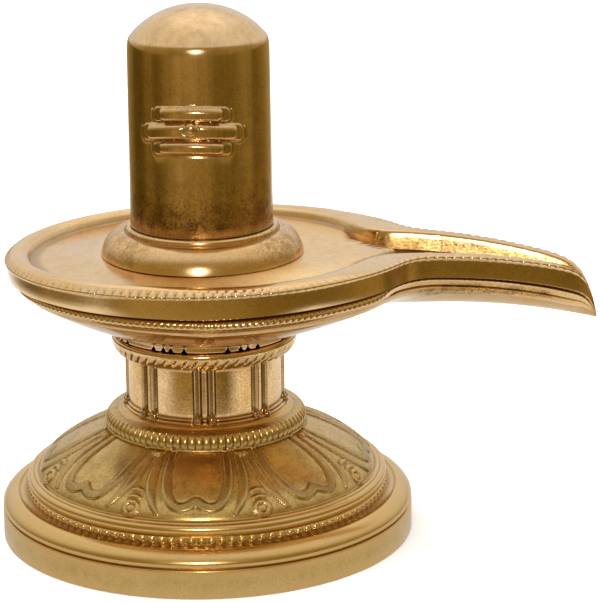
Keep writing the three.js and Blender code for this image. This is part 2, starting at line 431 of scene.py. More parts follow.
def take_shade(piece):
    """Reads the shade stored on each vertex and removes it from the piece"""
    stored = piece.data.attributes["shade"]
    shade = np.empty(len(piece.data.vertices), np.float32)
    stored.data.foreach_get("value", shade)
    piece.data.attributes.remove(stored)
    return shade


HOLLOW_ROUNDS = 6
HOLLOW_SPAN = 0.14 * MM


def hollow_share(piece):
    """How hollow each vertex lies: 0 on a sharp edge, 0.5 on a flat, 1 in a deep groove"""
    mesh = piece.data
    points, normals = vertex_array(piece), normal_array(piece)
    ends = np.empty(len(mesh.edges) * 2, np.int64)
    mesh.edges.foreach_get("vertices", ends)
    a, b = ends.reshape(-1, 2).T
    count = np.bincount(ends, minlength=len(points))[:, None]
    smooth = points.copy()
    for _ in range(HOLLOW_ROUNDS):
        sums = np.zeros_like(points)
        for axis in range(3):
            sums[:, axis] = np.bincount(a, smooth[b, axis], len(points))
            sums[:, axis] += np.bincount(b, smooth[a, axis], len(points))
        smooth = (smooth + sums / count) / 2
    depth = ((smooth - points) * normals).sum(1)
    return np.clip(0.5 + depth / HOLLOW_SPAN, 0, 1)


SMOOTH_ANGLE = radians(50)


def finish_piece(piece, node, material, painted_shade=0.0, pitted=0.0, brushed=0.0):
    """Smooths a piece, stores where shade is painted on it and where it is pitted and brushed, and ties it
    to its node
    """
    make_active(piece)
    bpy.ops.object.shade_smooth_by_angle(angle=SMOOTH_ANGLE)
    count = len(piece.data.vertices)
    store_on_vertices(piece, "hollow", hollow_share(piece))
    for name, share in (("painted_shade", painted_shade), ("pitted", pitted), ("brushed", brushed)):
        store_on_vertices(piece, name, np.broadcast_to(share, count))
    piece.data.materials.clear()
    piece.data.materials.append(material)
    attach(piece, "root")
    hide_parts(node)


# Brass finishes

class NodeDesk:
    """Adds nodes to a material and links them"""

    def __init__(self, material):
        material.use_nodes = True
        self.tree = material.node_tree
        self.tree.nodes.clear()

    def add(self, kind, **settings):
        node = self.tree.nodes.new(kind)
        for key, value in settings.items():
            setattr(node, key, value)
        return node

    def feed(self, socket, value):
        if isinstance(value, bpy.types.NodeSocket):
            self.tree.links.new(value, socket)
        else:
            socket.default_value = value

    def noise(self, coordinates, scale, detail, roughness):
        node = self.add("ShaderNodeTexNoise")
        self.feed(node.inputs["Vector"], coordinates)
        self.feed(node.inputs["Scale"], scale)
        self.feed(node.inputs["Detail"], detail)
        self.feed(node.inputs["Roughness"], roughness)
        return node.outputs["Fac"]

    def remap(self, value, low, high, to_low=0.0, to_high=1.0):
        node = self.add("ShaderNodeMapRange")
        for key, number in (("Value", value), ("From Min", low), ("From Max", high),
                            ("To Min", to_low), ("To Max", to_high)):
            self.feed(node.inputs[key], number)
        return node.outputs["Result"]

    def blend(self, share, first, second):
        """Mixes two colours: the node's colour sockets are inputs 6 and 7 and output 2"""
        node = self.add("ShaderNodeMix", data_type="RGBA")
        self.feed(node.inputs["Factor"], share)
        self.feed(node.inputs[6], first)
        self.feed(node.inputs[7], second)
        return node.outputs[2]

    def maths(self, operation, first, second):
        node = self.add("ShaderNodeMath", operation=operation)
        self.feed(node.inputs[0], first)
        self.feed(node.inputs[1], second)
        return node.outputs[0]

    def stretched(self, coordinates, scale):
        node = self.add("ShaderNodeMapping")
        self.feed(node.inputs["Vector"], coordinates)
        node.inputs["Scale"].default_value = scale
        return node.outputs["Vector"]


# Each noise as scale per millimetre, detail and roughness, and its range that is spread from 0 to 1
CLOUDS, CLOUD_RANGE = (0.11, 5, 0.6), (0.38, 0.64)
GRAIN, GRAIN_RANGE = (2.4, 4, 0.65), (0.5, 0.72)
PITS, PIT_RANGE = (2.6, 3, 0.6), (0.5, 0.62)
BLOTCHES, BLOTCH_RANGE = (0.4, 6, 0.75), (0.45, 0.62)
STREAKS, STREAK_RANGE = (0.5, 4, 0.6), (0.4, 0.65)
STREAK_STRETCH = (0.9 / MM, 0.9 / MM, 0.02 / MM)
# Ranges of the hollow share that make a groove and a rubbed edge
GROOVE_RANGE, RUBBED_RANGE = (0.62, 1.0), (0.42, 0.1)
PIT_SHADE, BLOTCH_SHADE, GROOVE_SHADE = 0.85, 0.8, 0.55
RUBBED_SHARE, PITTED_TARNISH = 0.6, 0.6
# How dark the painted shade is, as a share of the groove colour
PAINTED_SHADE_LEVEL = 0.3
BRUSHED_TINT, BRUSHED_SHARE = (0.93, 0.7, 0.33), 0.4
CLOUD_ROUGHNESS, GROOVE_ROUGHNESS = 0.05, 0.2
PITTED_ROUGHNESS, BRUSHED_ROUGHNESS = 0.08, 0.32
PIT_HEIGHT = -2.5
BUMP_STRENGTH, BUMP_DISTANCE = 0.35, 0.012 * MM


def opaque(colour):
    return (*colour, 1.0)


def brass(name, face, tarnish, grooves, roughness, cloud_share=0.5, grain_share=0.25, streak_share=0.0,
          matte_share=0.0):
    """Cast brass: clouds of tarnish, cast grain, dark hollows, rubbed edges, pitted and brushed places"""
    material = bpy.data.materials.new(name)
    desk = NodeDesk(material)
    objects = desk.add("ShaderNodeTexCoord").outputs["Object"]
    millimetres = desk.stretched(objects, (1 / MM,) * 3)
    hollow, painted_shade, pitted, brushed = (
        desk.add("ShaderNodeAttribute", attribute_name=key).outputs["Fac"]
        for key in ("hollow", "painted_shade", "pitted", "brushed")
    )
    clouds = desk.remap(desk.noise(millimetres, *CLOUDS), *CLOUD_RANGE)
    grain = desk.noise(millimetres, *GRAIN)
    specks = desk.remap(grain, *GRAIN_RANGE, 0, grain_share)
    pits = desk.maths("MULTIPLY", desk.remap(desk.noise(millimetres, *PITS), *PIT_RANGE), pitted)
    patches = desk.remap(desk.noise(millimetres, *BLOTCHES), *BLOTCH_RANGE, 0, BLOTCH_SHADE)
    blotches = desk.maths("MULTIPLY", patches, pitted)
    groove = desk.remap(hollow, *GROOVE_RANGE, 0, GROOVE_SHADE)
    rubbed = desk.remap(hollow, *RUBBED_RANGE, 0, RUBBED_SHARE)

    stains = desk.remap(pitted, 0, 1, 0, PITTED_TARNISH)
    tarnished = desk.maths("ADD", desk.maths("MULTIPLY", clouds, cloud_share), stains)
    colour = desk.blend(desk.maths("MINIMUM", tarnished, 1.0), opaque(face), opaque(tarnish))
    if streak_share:
        upright = desk.stretched(objects, STREAK_STRETCH)
        streaks = desk.remap(desk.noise(upright, *STREAKS), *STREAK_RANGE, 0, streak_share)
        colour = desk.blend(streaks, colour, opaque(grooves))
    colour = desk.blend(desk.maths("MULTIPLY", brushed, BRUSHED_SHARE), colour, opaque(BRUSHED_TINT))
    colour = desk.blend(specks, colour, opaque(grooves))
    colour = desk.blend(blotches, colour, opaque(grooves))
    colour = desk.blend(desk.maths("MULTIPLY", pits, PIT_SHADE), colour, opaque(grooves))
    colour = desk.blend(rubbed, colour, opaque(face))
    colour = desk.blend(groove, colour, opaque(grooves))
    # Painted shade: places marked as shaded are blended toward a dark brown
    colour = desk.blend(painted_shade, colour, opaque([PAINTED_SHADE_LEVEL * part for part in grooves]))

    shine = desk.remap(clouds, 0, 1, roughness, roughness + CLOUD_ROUGHNESS)
    rougher = ((groove, GROOVE_ROUGHNESS), (pitted, PITTED_ROUGHNESS), (brushed, BRUSHED_ROUGHNESS))
    for share, more in rougher:
        shine = desk.maths("ADD", shine, desk.remap(share, 0, 1, 0, more))
    bump = desk.add("ShaderNodeBump")
    bump.inputs["Strength"].default_value = BUMP_STRENGTH
    bump.inputs["Distance"].default_value = BUMP_DISTANCE
    desk.feed(bump.inputs["Height"], desk.maths("ADD", grain, desk.maths("MULTIPLY", pits, PIT_HEIGHT)))

    shader = desk.add("ShaderNodeBsdfPrincipled")
    shader.inputs["Metallic"].default_value = 1.0
    if matte_share:
        matte = desk.maths("MULTIPLY", brushed, brushed)
        desk.feed(shader.inputs["Metallic"], desk.remap(matte, 0, 1, 1.0, 1 - matte_share))
    desk.feed(shader.inputs["Base Color"], colour)
    desk.feed(shader.inputs["Roughness"], shine)
    desk.feed(shader.inputs["Normal"], bump.outputs["Normal"])
    output = desk.add("ShaderNodeOutputMaterial")
    desk.feed(output.inputs["Surface"], shader.outputs["BSDF"])
    return material


# The lingam

def round_slab(along, up, half_length, half_height, corner):
    """Distance into a rectangle with round corners, negative outside it"""
    x = np.abs(along) - (half_length - corner)
    y = np.abs(up) - (half_height - corner)
    outside = np.hypot(np.maximum(x, 0), np.maximum(y, 0))
    return corner - outside - np.minimum(np.maximum(x, y), 0)


# Each bar as its lower edge, its upper edge and its reach to each side in degrees
BARS = ((77.2, 79.95, 33.0), (80.0, 83.3, 44.5), (83.4, 86.3, 32.5))
BAR_MARGIN = 1
BAR_EDGE = 0.8
BAR_SLOPE = 1.4
BAR_DROOP = 0.28
BAR_CORNER = 0.46
ROLL_INSET = 7.0
PLINTH_RISE = 0.3
PLINTH_EDGE = 0.35
DOT_HEIGHT = 82.0
DOT_SINK = 0.25
CHASE_AWAY = 0.3
CHASE_HALF = 0.28
CHASE_DEPTH = 0.16
CHASE_FADE = (-0.6, -0.1)


def mark_relief(sizes, angle, radius, height):
    """Three rolled bars on low plinths and the round dot, with a chased line below and beside them"""
    shaft = (sizes.foot_radius + sizes.top_radius) / 2 / MM
    stand = sizes.bar_relief / MM
    dot = sizes.dot_radius / MM
    along = shaft * ((angle - FRONT - sizes.mark_turn + pi) % FULL_TURN - pi)
    height = height + BAR_DROOP * shaft * (1 - np.cos(np.clip(along / shaft, -1, 1)))
    away = np.hypot(along, height - DOT_HEIGHT)
    rise = np.zeros_like(angle)
    chased = bell((away - dot) / CHASE_HALF)
    for low, high, reach in BARS:
        half = (high - low) / 2
        above = height - (low + high) / 2
        corner = 2 * half * BAR_CORNER
        inside = round_slab(along, above, shaft * radians(reach), half, corner)
        rise = np.maximum(rise, PLINTH_RISE * quarter_round(np.clip(inside / PLINTH_EDGE, 0, 1)))
        within = round_slab(along, above, shaft * radians(reach - ROLL_INSET), half, corner)
        edge = quarter_round(np.clip(within / BAR_EDGE, 0, 1))
        slope = np.sin(np.clip((high - height) / BAR_SLOPE, 0, 1) * pi / 2)
        rise = np.maximum(rise, stand * np.minimum(edge, slope))
        below = 1 - ease(height - high, *CHASE_FADE)
        chased = np.maximum(chased, below * bell((inside + CHASE_AWAY) / CHASE_HALF))
    rise = rise - CHASE_DEPTH * chased
    ball = np.sqrt(np.maximum(dot ** 2 - away ** 2, 0)) - DOT_SINK
    rise = np.where(away < dot, np.maximum(rise, ball), rise)
    return np.where(radius > shaft / 2, rise, 0)


# Points of the shaft as offsets from its foot's edge, from its shoulder and from its apex
SHAFT_EDGE, SHAFT_EDGE_RISE, SHAFT_EDGE_SWELL = (-0.12, 0), 0.15, 0.03
SHOULDER_START = -3.4
SHOULDER_BEND = ((0, -1.2), (-0.08, -0.1), (-0.75, 0.45))
DOME_FLANK, DOME_CROWN = (-2.7, 2.9), (6.5, -0.1)


def shaft_outline(sizes):
    """The shaft with a broken edge at its foot, many points across the bars, a soft shoulder and the dome"""
    foot, shoulder = sizes.foot_height / MM, sizes.shoulder_height / MM
    wide, narrow, apex = sizes.foot_radius / MM, sizes.top_radius / MM, sizes.apex_height / MM

    def wall(height):
        return (mix(wide, narrow, (height - foot) / (shoulder - foot)), height)

    outline = [(0, foot), *offset((wide, foot), SHAFT_EDGE)]
    outline += bow(outline[-1], wall(foot + SHAFT_EDGE_RISE), SHAFT_EDGE_SWELL, steps=3)
    outline += straight(outline[-1], wall(BARS[0][0] - BAR_MARGIN), steps=8)
    outline += straight(outline[-1], wall(BARS[-1][1] + BAR_MARGIN), steps=66)
    outline += straight(outline[-1], wall(shoulder + SHOULDER_START), steps=4)
    outline += curve((outline[-1], *offset((narrow, shoulder), *SHOULDER_BEND)), steps=12)
    flank, crown = offset((narrow, shoulder), DOME_FLANK), offset((0, apex), DOME_CROWN)
    outline += curve((outline[-1], *flank, *crown, (0, apex)), steps=26)
    return outline


SHAFT_STEPS = 512
FOOT_PITTED, WALL_PITTED, PITTED_FADE = 1.0, 0.25, (1, 12)
# A painted shade darkens the lowest few millimetres of the shaft, beside the collar
FOOT_PAINTED_SHADE, FOOT_SHADE_FADE = 0.35, (2, 8)
CLEAN_SHOULDER = 8


class LingamOperator(bpy.types.Operator):
    """Turns the domed shaft and raises the three bars and the dot on it"""

    bl_idname = "brass_lingam.lingam"
    bl_label = "Lingam"

    def execute(self, context):
        settings = context.scene.brass_lingam
        sizes = settings.lingam
        piece = turn_outline("lingam_shaft", shaft_outline(sizes), SHAFT_STEPS)
        raise_relief(piece, mark_relief(sizes, *cylinder_places(piece)))
        colours = settings.colours
        finish = brass("shaft_brass_finish", colours.polished, colours.golden, colours.grooves,
                       roughness=0.14, cloud_share=0.35, grain_share=0.22, streak_share=0.25)
        _, _, height = cylinder_places(piece)
        above = height - sizes.foot_height / MM
        shoulder = sizes.shoulder_height / MM
        pitted = mix(FOOT_PITTED, WALL_PITTED, ease(above, *PITTED_FADE))
        pitted *= 1 - ease(height, shoulder - CLEAN_SHOULDER, shoulder)
        # Painted shade: the shaft grows darker toward its foot
        foot_shade = FOOT_PAINTED_SHADE * (1 - ease(above, *FOOT_SHADE_FADE))
        finish_piece(piece, "lingam", finish, painted_shade=foot_shade, pitted=pitted)
        return {"FINISHED"}


# The collar ring

COLLAR_STEPS = 288
COLLAR_LEAN, COLLAR_LEAN_IN = 0.62, 0.2
COLLAR_FRONT_PITTED, COLLAR_SIDE_PITTED = 0.1, 0.65
COLLAR_SIDE_FADE = (0.35, 0.85)


# Points of the ring as offsets from its rim at the floor, at its shelf and at its top
COLLAR_EDGE = ((-0.2, 0), (0, 0.2))
COLLAR_QUARTER = ((-2.3, 0), (-4.5, 0))
COLLAR_NICK = ((-4.62, -0.1), (-4.76, 0))
COLLAR_FILLET, COLLAR_FILLET_SWELL, COLLAR_FILLET_HEIGHT = (-5.4, -0.05), 0.3, 1.0
COLLAR_SINK = (-5.75, -0.12)


def collar_outline(sizes, floor):
    """A leaning quarter-round on the floor, a nick above it and a small fillet at the top"""
    rim, bore, top = sizes.radius / MM, sizes.bore / MM, sizes.top / MM
    shelf = top - COLLAR_FILLET_HEIGHT
    lean = mix(floor, shelf, COLLAR_LEAN)
    leaning = (rim - COLLAR_LEAN_IN * (lean - floor), lean)
    outline = [(bore, floor), *offset((rim, floor), *COLLAR_EDGE)]
    outline += curve((outline[-1], leaning, *offset((rim, shelf), *COLLAR_QUARTER)), steps=28)
    outline += offset((rim, shelf), *COLLAR_NICK)
    fillet, sink = offset((rim, top), COLLAR_FILLET, COLLAR_SINK)
    outline += bow(outline[-1], fillet, COLLAR_FILLET_SWELL, steps=10)
    return outline + [sink, (bore, sink[1]), (bore, floor)]


class CollarOperator(bpy.types.Operator):
    """Turns the quarter-round ring with its small fillet"""

    bl_idname = "brass_lingam.collar_ring"
    bl_label = "Collar ring"

    def execute(self, context):
        settings = context.scene.brass_lingam
        outline = collar_outline(settings.collar, settings.dish.floor_height / MM)
        piece = turn_outline("collar_quarter_round", outline, COLLAR_STEPS)
        colours = settings.colours
        finish = brass("collar_brass_finish", colours.polished, colours.golden, colours.grooves,
                       roughness=0.15)
        angle, _, _ = cylinder_places(piece)
        sideways = ease(np.abs(np.cos(angle)), *COLLAR_SIDE_FADE)
        pitted = mix(COLLAR_FRONT_PITTED, COLLAR_SIDE_PITTED, sideways)
        finish_piece(piece, "collar_ring", finish, pitted=pitted)
        return {"FINISHED"}


# The neck drum

DRUM_STEPS = 896
DRUM_TURN = radians(1.2)
DRUM_PITTED, DRUM_RING_PITTED, DRUM_RING_BLEND = 0.3, 0.35, (-3.6, -3.2)
PILASTER_OFFSET = 1.35
PILASTER_HALF = 0.62
PILASTER_RISE = 0.42
PILASTER_FOOT, PILASTER_FOOT_EDGE = 1.7, 0.3
PILASTER_SPREAD = 0.3
PILASTER_SHADE = 0.45
PILASTER_START = (0.1, 0.3)
PILASTER_END = (-3.4, -3.2)
QUIRK_AWAY, QUIRK_HALF = 0.14, 0.13
QUIRK_DEPTH, QUIRK_SHADE = 0.16, 0.45
STRIP_HALF, STRIP_RISE = 0.2, 0.12
RING_WIDTH = 2.2
LOBE_START, LOBE_END = -3.25, -1.25
LOBE_EDGE, LOBE_FADE = (-0.1, 0.2), 0.6
LOBE_LEAN, LOBE_DEPTH = 0.3, 0.3
LOBE_WEAR, LOBE_WEAR_SWING = 0.6, 0.4
NOTCH_RISE, NOTCH_HALF, NOTCH_EDGE = 1.3, 0.55, (0.55, 0.95)
NOTCH_DEPTH, NOTCH_SHADE = 0.3, 0.5


def pilaster_turn(sizes, angle):
    """Distance along the wall from the middle of the nearest pair of pilasters, in millimetres"""
    step = FULL_TURN / sizes.pilaster_pairs
    turn = (angle - FRONT - DRUM_TURN + step / 2) % step - step / 2
    return turn * sizes.wall_radius / MM


def pilaster_relief(sizes, angle, radius, height):
    """Pairs of upright ribs with wider feet, a quirk beside each and a strip between, and their shade"""
    above, below = height - sizes.foot_height / MM, height - sizes.top_height / MM
    aside = pilaster_turn(sizes, angle)
    away = np.abs(np.abs(aside) - PILASTER_OFFSET)
    on_wall = ease(above, *PILASTER_START) * (1 - ease(below, *PILASTER_END))
    on_wall = np.where(radius > sizes.wall_radius / MM / 2, on_wall, 0)
    foot = 1 - ease(above, PILASTER_FOOT - PILASTER_FOOT_EDGE, PILASTER_FOOT)
    spread = 1 + PILASTER_SPREAD * foot
    rib = PILASTER_RISE * spread * half_round(away / (PILASTER_HALF * spread))
    quirk = bell((away - PILASTER_HALF - QUIRK_AWAY) / QUIRK_HALF)
    strip = STRIP_RISE * bell(aside / STRIP_HALF)
    rise = on_wall * (rib - QUIRK_DEPTH * quirk + strip)
    return rise, on_wall * (PILASTER_SHADE * (away < PILASTER_HALF) + QUIRK_SHADE * quirk)


def lobe_relief(sizes, angle, radius, height):
    """Hanging lobes round the upper ring with a notch between them, unevenly worn, and their shade"""
    low, high = sizes.top_height / MM + LOBE_START, sizes.top_height / MM + LOBE_END
    turn = angle * sizes.notches / FULL_TURN - LOBE_LEAN * (height - low)
    lobe = np.abs(turn % 1 * 2 - 1)
    wear = LOBE_WEAR - LOBE_WEAR_SWING * np.sin(3 * angle + 0.7) * np.sin(5 * angle)
    worn = np.where(radius > sizes.ring_radius / MM - RING_WIDTH, wear, 0)
    scallop = ease(height - low, *LOBE_EDGE) * (1 - ease(height, low + LOBE_FADE, high))
    notch = worn * bell((height - low - NOTCH_RISE) / NOTCH_HALF) * ease(lobe, *NOTCH_EDGE)
    rise = -worn * scallop * LOBE_DEPTH * between_lobes(lobe) - NOTCH_DEPTH * notch
    return rise, NOTCH_SHADE * notch


# Points of the drum as offsets from its wall at the foot, from its wall at the top and from its ring
DRUM_TORUS, DRUM_TORUS_SWELL = ((0.5, 0), (0.45, 0.5)), 0.2
DRUM_QUIRK = ((0.12, 0.58), (0.14, 0.7))
DRUM_FILLET, DRUM_FILLET_SWELL = (0.12, 1.1), 0.18
DRUM_WALL_FOOT = ((-0.04, 1.18), (0, 1.3))
DRUM_WALL_TOP, DRUM_COVE = (0, -3.7), ((0.05, -3.4), (0.5, -3.3))
DRUM_RING, DRUM_RING_SWELL = ((-0.95, -3.2), (-0.05, -0.7)), 0.22
DRUM_BROW, DRUM_BROW_SWELL = (-0.75, 0), 0.2


def drum_outline(sizes):
    """A half-round and a fillet at the foot, the plain wall, a cove and the swelling ring at the top"""
    wall, ring = sizes.wall_radius / MM, sizes.ring_radius / MM
    foot, top = sizes.foot_height / MM, sizes.top_height / MM
    torus_start, torus_end, fillet = offset((wall, foot), *DRUM_TORUS, DRUM_FILLET)
    ring_start, ring_end, brow = offset((ring, top), *DRUM_RING, DRUM_BROW)
    outline = [(0, foot), torus_start]
    outline += bow(outline[-1], torus_end, DRUM_TORUS_SWELL, steps=5)
    outline += offset((wall, foot), *DRUM_QUIRK)
    outline += bow(outline[-1], fillet, DRUM_FILLET_SWELL, steps=4)
    outline += offset((wall, foot), *DRUM_WALL_FOOT)
    outline += straight(outline[-1], *offset((wall, top), DRUM_WALL_TOP), steps=14)
    outline += curve((outline[-1], *offset((wall, top), *DRUM_COVE), ring_start), steps=5)
    outline += bow(outline[-1], ring_end, DRUM_RING_SWELL, steps=17)
    outline += bow(outline[-1], brow, DRUM_BROW_SWELL, steps=5)
    return outline + [(0, top)]


class DrumOperator(bpy.types.Operator):
    """Turns the drum, with pilasters on its wall and a ring of hanging lobes at its top"""

    bl_idname = "brass_lingam.neck_drum"
    bl_label = "Neck drum"

    def execute(self, context):
        settings = context.scene.brass_lingam
        sizes = settings.drum
        piece = turn_outline("neck_drum_pilastered", drum_outline(sizes), DRUM_STEPS)
        places = cylinder_places(piece)
        rib_rise, rib_shade = pilaster_relief(sizes, *places)
        lobe_rise, lobe_shade = lobe_relief(sizes, *places)
        raise_relief(piece, rib_rise + lobe_rise)
        colours = settings.colours
        finish = brass("drum_brass_finish", colours.polished, colours.golden, colours.grooves,
                       roughness=0.06, cloud_share=0.6, grain_share=0.35)
        _, _, height = cylinder_places(piece)
        on_ring = ease(height - sizes.top_height / MM, *DRUM_RING_BLEND)
        pitted = mix(DRUM_PITTED, DRUM_RING_PITTED, on_ring)
        dark = np.clip(np.maximum(rib_shade, lobe_shade), 0, 1)
        finish_piece(piece, "neck_drum", finish, painted_shade=dark, pitted=pitted)
        return {"FINISHED"}


# The lotus base

DOME_CURVE = ((32.75, 12.6), (31.9, 14.9), (26.8, 18.3), (19.5, 21.2))
RING_FOOT, RING_TOP = 21.25, 24.3
PETAL_SIDE = ((14.3, 19.9), (13.4, 24.0), (12.9, 28.6), (8.2, 30.9))
PETAL_FOOT = ((8.2, 30.9), (6.0, 31.7), (3.0, 31.4), (0, 30.3))
LEAF = ((19.7, 20.0), (19.6, 25.0), (18.8, 29.6), (13.2, 32.3))
BETWEEN_PETALS = 22.5
BUD = (BETWEEN_PETALS, 31.9)
BUD_RADIUS = 1.3
CROSS_BARS = ((28.7, 20.8), (30.0, 20.6))
PETAL_BAND = 0.95
PETAL_RISE = 0.27
LEAF_RISE = 0.28
KNOB = (20.8, 20.5)
KNOB_RADIUS = 0.75
BAND_SHADE = 0.3


def dome_height(radius):
    """Height of the plain dome at a radius"""
    points = np.array([DOME_CURVE[0]] + curve(DOME_CURVE, 60))[::-1]
    return np.interp(radius, points[:, 0], points[:, 1])


def on_dome(bearings):
    """Places on the dome from (degrees from the petal's middle, radius)"""
    bearings = np.array(bearings, float)
    angle, radius = np.radians(bearings[:, 0]), bearings[:, 1]
    return np.stack((radius * np.cos(angle), radius * np.sin(angle), dome_height(radius)), 1)


def distance_to_line(points, line):
    """Distance from each point to a line of places, and how far along the line the nearest place is"""
    best = np.full(len(points), np.inf)
    along = np.zeros(len(points))
    for k, (start, end) in enumerate(zip(line, line[1:])):
        span = end - start
        share = np.clip((points - start) @ span / (span @ span), 0, 1)
        away = np.linalg.norm(points - start - share[:, None] * span, axis=1)
        nearer = away < best
        best[nearer] = away[nearer]
        along[nearer] = (k + share[nearer]) / (len(line) - 1)
    return best, along


BAND_EDGE = (0.7, 1.05)
TRACE_AWAY, TRACE_HALF = 1.05, 0.15


def band(away, half):
    """A flat band with rounded edges, 1 along its middle"""
    return 1 - ease(away / half, *BAND_EDGE)


def trace(away, half):
    """A fine line along the outside of a band"""
    return bell((away - half * TRACE_AWAY) / TRACE_HALF)


PETAL_RADII, PETAL_HEIGHTS = (19.2, 33.4), (12.55, 22)
PETAL_NARROW, PETAL_WIDENING = 0.75, 0.35
LEAF_HALF, LEAF_SWELL, LEAF_TAPER, LEAF_SHADE = 0.3, 0.6, 0.8, 0.7
CROSS_BAR_RISE, CROSS_BAR_HALF, CROSS_BAR_BOW = 0.3, 0.42, 0.25
BUD_RIM_RISE, BUD_RIM_HALF = 0.32, 0.42
BUD_EYE_RISE, BUD_EYE_HALF = 0.16, 0.8
KNOB_RISE = 0.6
TRACE_DEPTH, TRACE_SHADE, TRACE_COVER = 0.07, 0.05, (0.02, 0.2)


def petal_relief(sizes, angle, radius, height):
    """Eight petals with a raised rim, between them pairs of leaves over a bud, and how dark each place is"""
    step = FULL_TURN / sizes.petals
    rim = on_dome([PETAL_SIDE[0]] + curve(PETAL_SIDE, 20) + curve(PETAL_FOOT, 16))
    leaf = on_dome([LEAF[0]] + curve(LEAF, 24))
    bud, knob = on_dome([BUD, KNOB])
    turn = np.abs((angle - FRONT - sizes.turn + step / 2) % step - step / 2)
    places = np.stack((radius * np.cos(turn), radius * np.sin(turn), height), 1)
    near = (radius > PETAL_RADII[0]) & (radius < PETAL_RADII[1])
    near &= (height > PETAL_HEIGHTS[0]) & (height < PETAL_HEIGHTS[1])
    spot = places[near]

    away, along = distance_to_line(spot, rim)
    half = PETAL_BAND * (PETAL_NARROW + PETAL_WIDENING * along)
    raised = band(away, half)
    line = trace(away, half)
    up = PETAL_RISE * raised
    away, along = distance_to_line(spot, leaf)
    half = LEAF_HALF + LEAF_SWELL * np.sin(pi * np.clip(along, 0, 1) ** LEAF_TAPER) ** LEAF_TAPER
    blade = band(away, half)
    up = np.maximum(up, LEAF_RISE * blade)
    line = np.maximum(line, trace(away, half))
    for place, reach in CROSS_BARS:
        end = place + CROSS_BAR_BOW
        bar = on_dome([(reach, end), (BETWEEN_PETALS, place), (2 * BETWEEN_PETALS - reach, end)])
        away, _ = distance_to_line(spot, bar)
        up = np.maximum(up, CROSS_BAR_RISE * band(away, CROSS_BAR_HALF))
    out = np.linalg.norm(spot - bud, axis=1)
    up = np.maximum(up, BUD_RIM_RISE * band(np.abs(out - BUD_RADIUS), BUD_RIM_HALF))
    up = np.maximum(up, BUD_EYE_RISE * band(out, BUD_EYE_HALF))
    out = np.linalg.norm(spot - knob, axis=1)
    up = np.maximum(up, KNOB_RISE * half_round(out / KNOB_RADIUS))
    rise, dark = np.zeros_like(angle), np.zeros_like(angle)
    line = line * (1 - ease(up, *TRACE_COVER))
    rise[near] = up - TRACE_DEPTH * line
    dark[near] = BAND_SHADE * np.maximum(raised, LEAF_SHADE * blade) + TRACE_SHADE * line
    return rise, dark


RIB_INNER_RADIUS = 18.0
RIB_START, RIB_END = (0.3, 0.7), (-0.25, 0.1)
RIB_DEPTH, RIB_SHADE = 0.4, 0.5


def rib_relief(sizes, angle, radius, height):
    """The furrows between the ribs of the upper ring, and how dark each place is"""
    lobe = ((angle - FRONT) * sizes.ribs / FULL_TURN) % 1 * 2 - 1
    on_ring = ease(height - RING_FOOT, *RIB_START) * (1 - ease(height - RING_TOP, *RIB_END))
    furrow = between_lobes(lobe) * on_ring * (radius > RIB_INNER_RADIUS)
    return -RIB_DEPTH * furrow, RIB_SHADE * furrow


# Points of the foot as offsets from its rim on the ground
FOOT_EDGE, FOOT_EDGE_SWELL = ((-0.25, 0), (0, 0.25)), 0.08
BAND_TOP, BAND_BROW, BAND_BROW_SWELL = (0, 5.3), (-0.2, 5.5), 0.06
BAND_QUIRK = ((-0.5, 5.58), (-0.48, 5.72))
QUARTER_SIDE = ((0.15, 6.15), (0.1, 7.0), (-0.9, 7.9))
QUARTER_BROW = ((-1.5, 8.4), (-2.2, 8.75), (-3.0, 8.8))
BEAD_BED = ((-3.12, 8.72), (-3.8, 8.68), (-4.6, 8.6), (-4.85, 8.75))
BEAD_BACK, BEAD_QUIRK = (-5.05, 10.1), (-5.25, 10.22)
TORUS = ((-4.75, 10.9), (-4.9, 12.1), (-5.8, 12.25))
TORUS_QUIRK = ((-6.15, 12.2), (-6.2, 12.28))
DOME_FILLET, DOME_FILLET_SWELL = (-6.7, 12.5), 0.1
DOME_QUIRK = ((-6.95, 12.42), (-7.1, 12.46))
# Points of the ring above the dome and of the slope to the seat
RING_EDGE, RING_EDGE_SWELL = (19.45, RING_FOOT + 0.45), 0.15
RING_SWELL = ((19.65, 22.6), (19.5, 23.6), (18.6, RING_TOP))
SEAT_SLOPE, SEAT_EDGE_RADIUS = ((17.5, 24.25), (16.6, 24.5)), 16.1


def base_outline(sizes):
    """The foot's band, quarter-round, bead bed and half-rounds, the dome, the ribbed ring and the seat"""
    rim, top = (sizes.foot_radius / MM, 0), sizes.top_height / MM
    edge_start, edge_end, band_top, band_brow = offset(rim, *FOOT_EDGE, BAND_TOP, BAND_BROW)
    outline = [(0, 0), edge_start]
    outline += bow(outline[-1], edge_end, FOOT_EDGE_SWELL, steps=4)
    outline += straight(outline[-1], band_top, steps=2)
    outline += bow(outline[-1], band_brow, BAND_BROW_SWELL, steps=3)
    outline += offset(rim, *BAND_QUIRK)
    outline += curve((outline[-1], *offset(rim, *QUARTER_SIDE)), steps=9)
    outline += curve((outline[-1], *offset(rim, *QUARTER_BROW)), steps=5)
    outline += offset(rim, *BEAD_BED)
    outline += straight(outline[-1], *offset(rim, BEAD_BACK), steps=3)
    outline += offset(rim, BEAD_QUIRK)
    outline += curve((outline[-1], *offset(rim, *TORUS)), steps=9)
    outline += offset(rim, *TORUS_QUIRK)
    outline += bow(outline[-1], *offset(rim, DOME_FILLET), DOME_FILLET_SWELL, steps=4)
    outline += offset(rim, *DOME_QUIRK) + [DOME_CURVE[0]]
    outline += curve(DOME_CURVE, steps=56)
    outline += bow(outline[-1], RING_EDGE, RING_EDGE_SWELL, steps=3)
    outline += curve((outline[-1], *RING_SWELL), steps=9)
    outline += curve((outline[-1], *SEAT_SLOPE, (SEAT_EDGE_RADIUS, top)), steps=6)
    return outline + [(0, top)]


FOOT_BEAD = (0.66, 0.9, 0.86)
FOOT_BEAD_INSET, FOOT_BEAD_HEIGHT = 5.25, 9.35


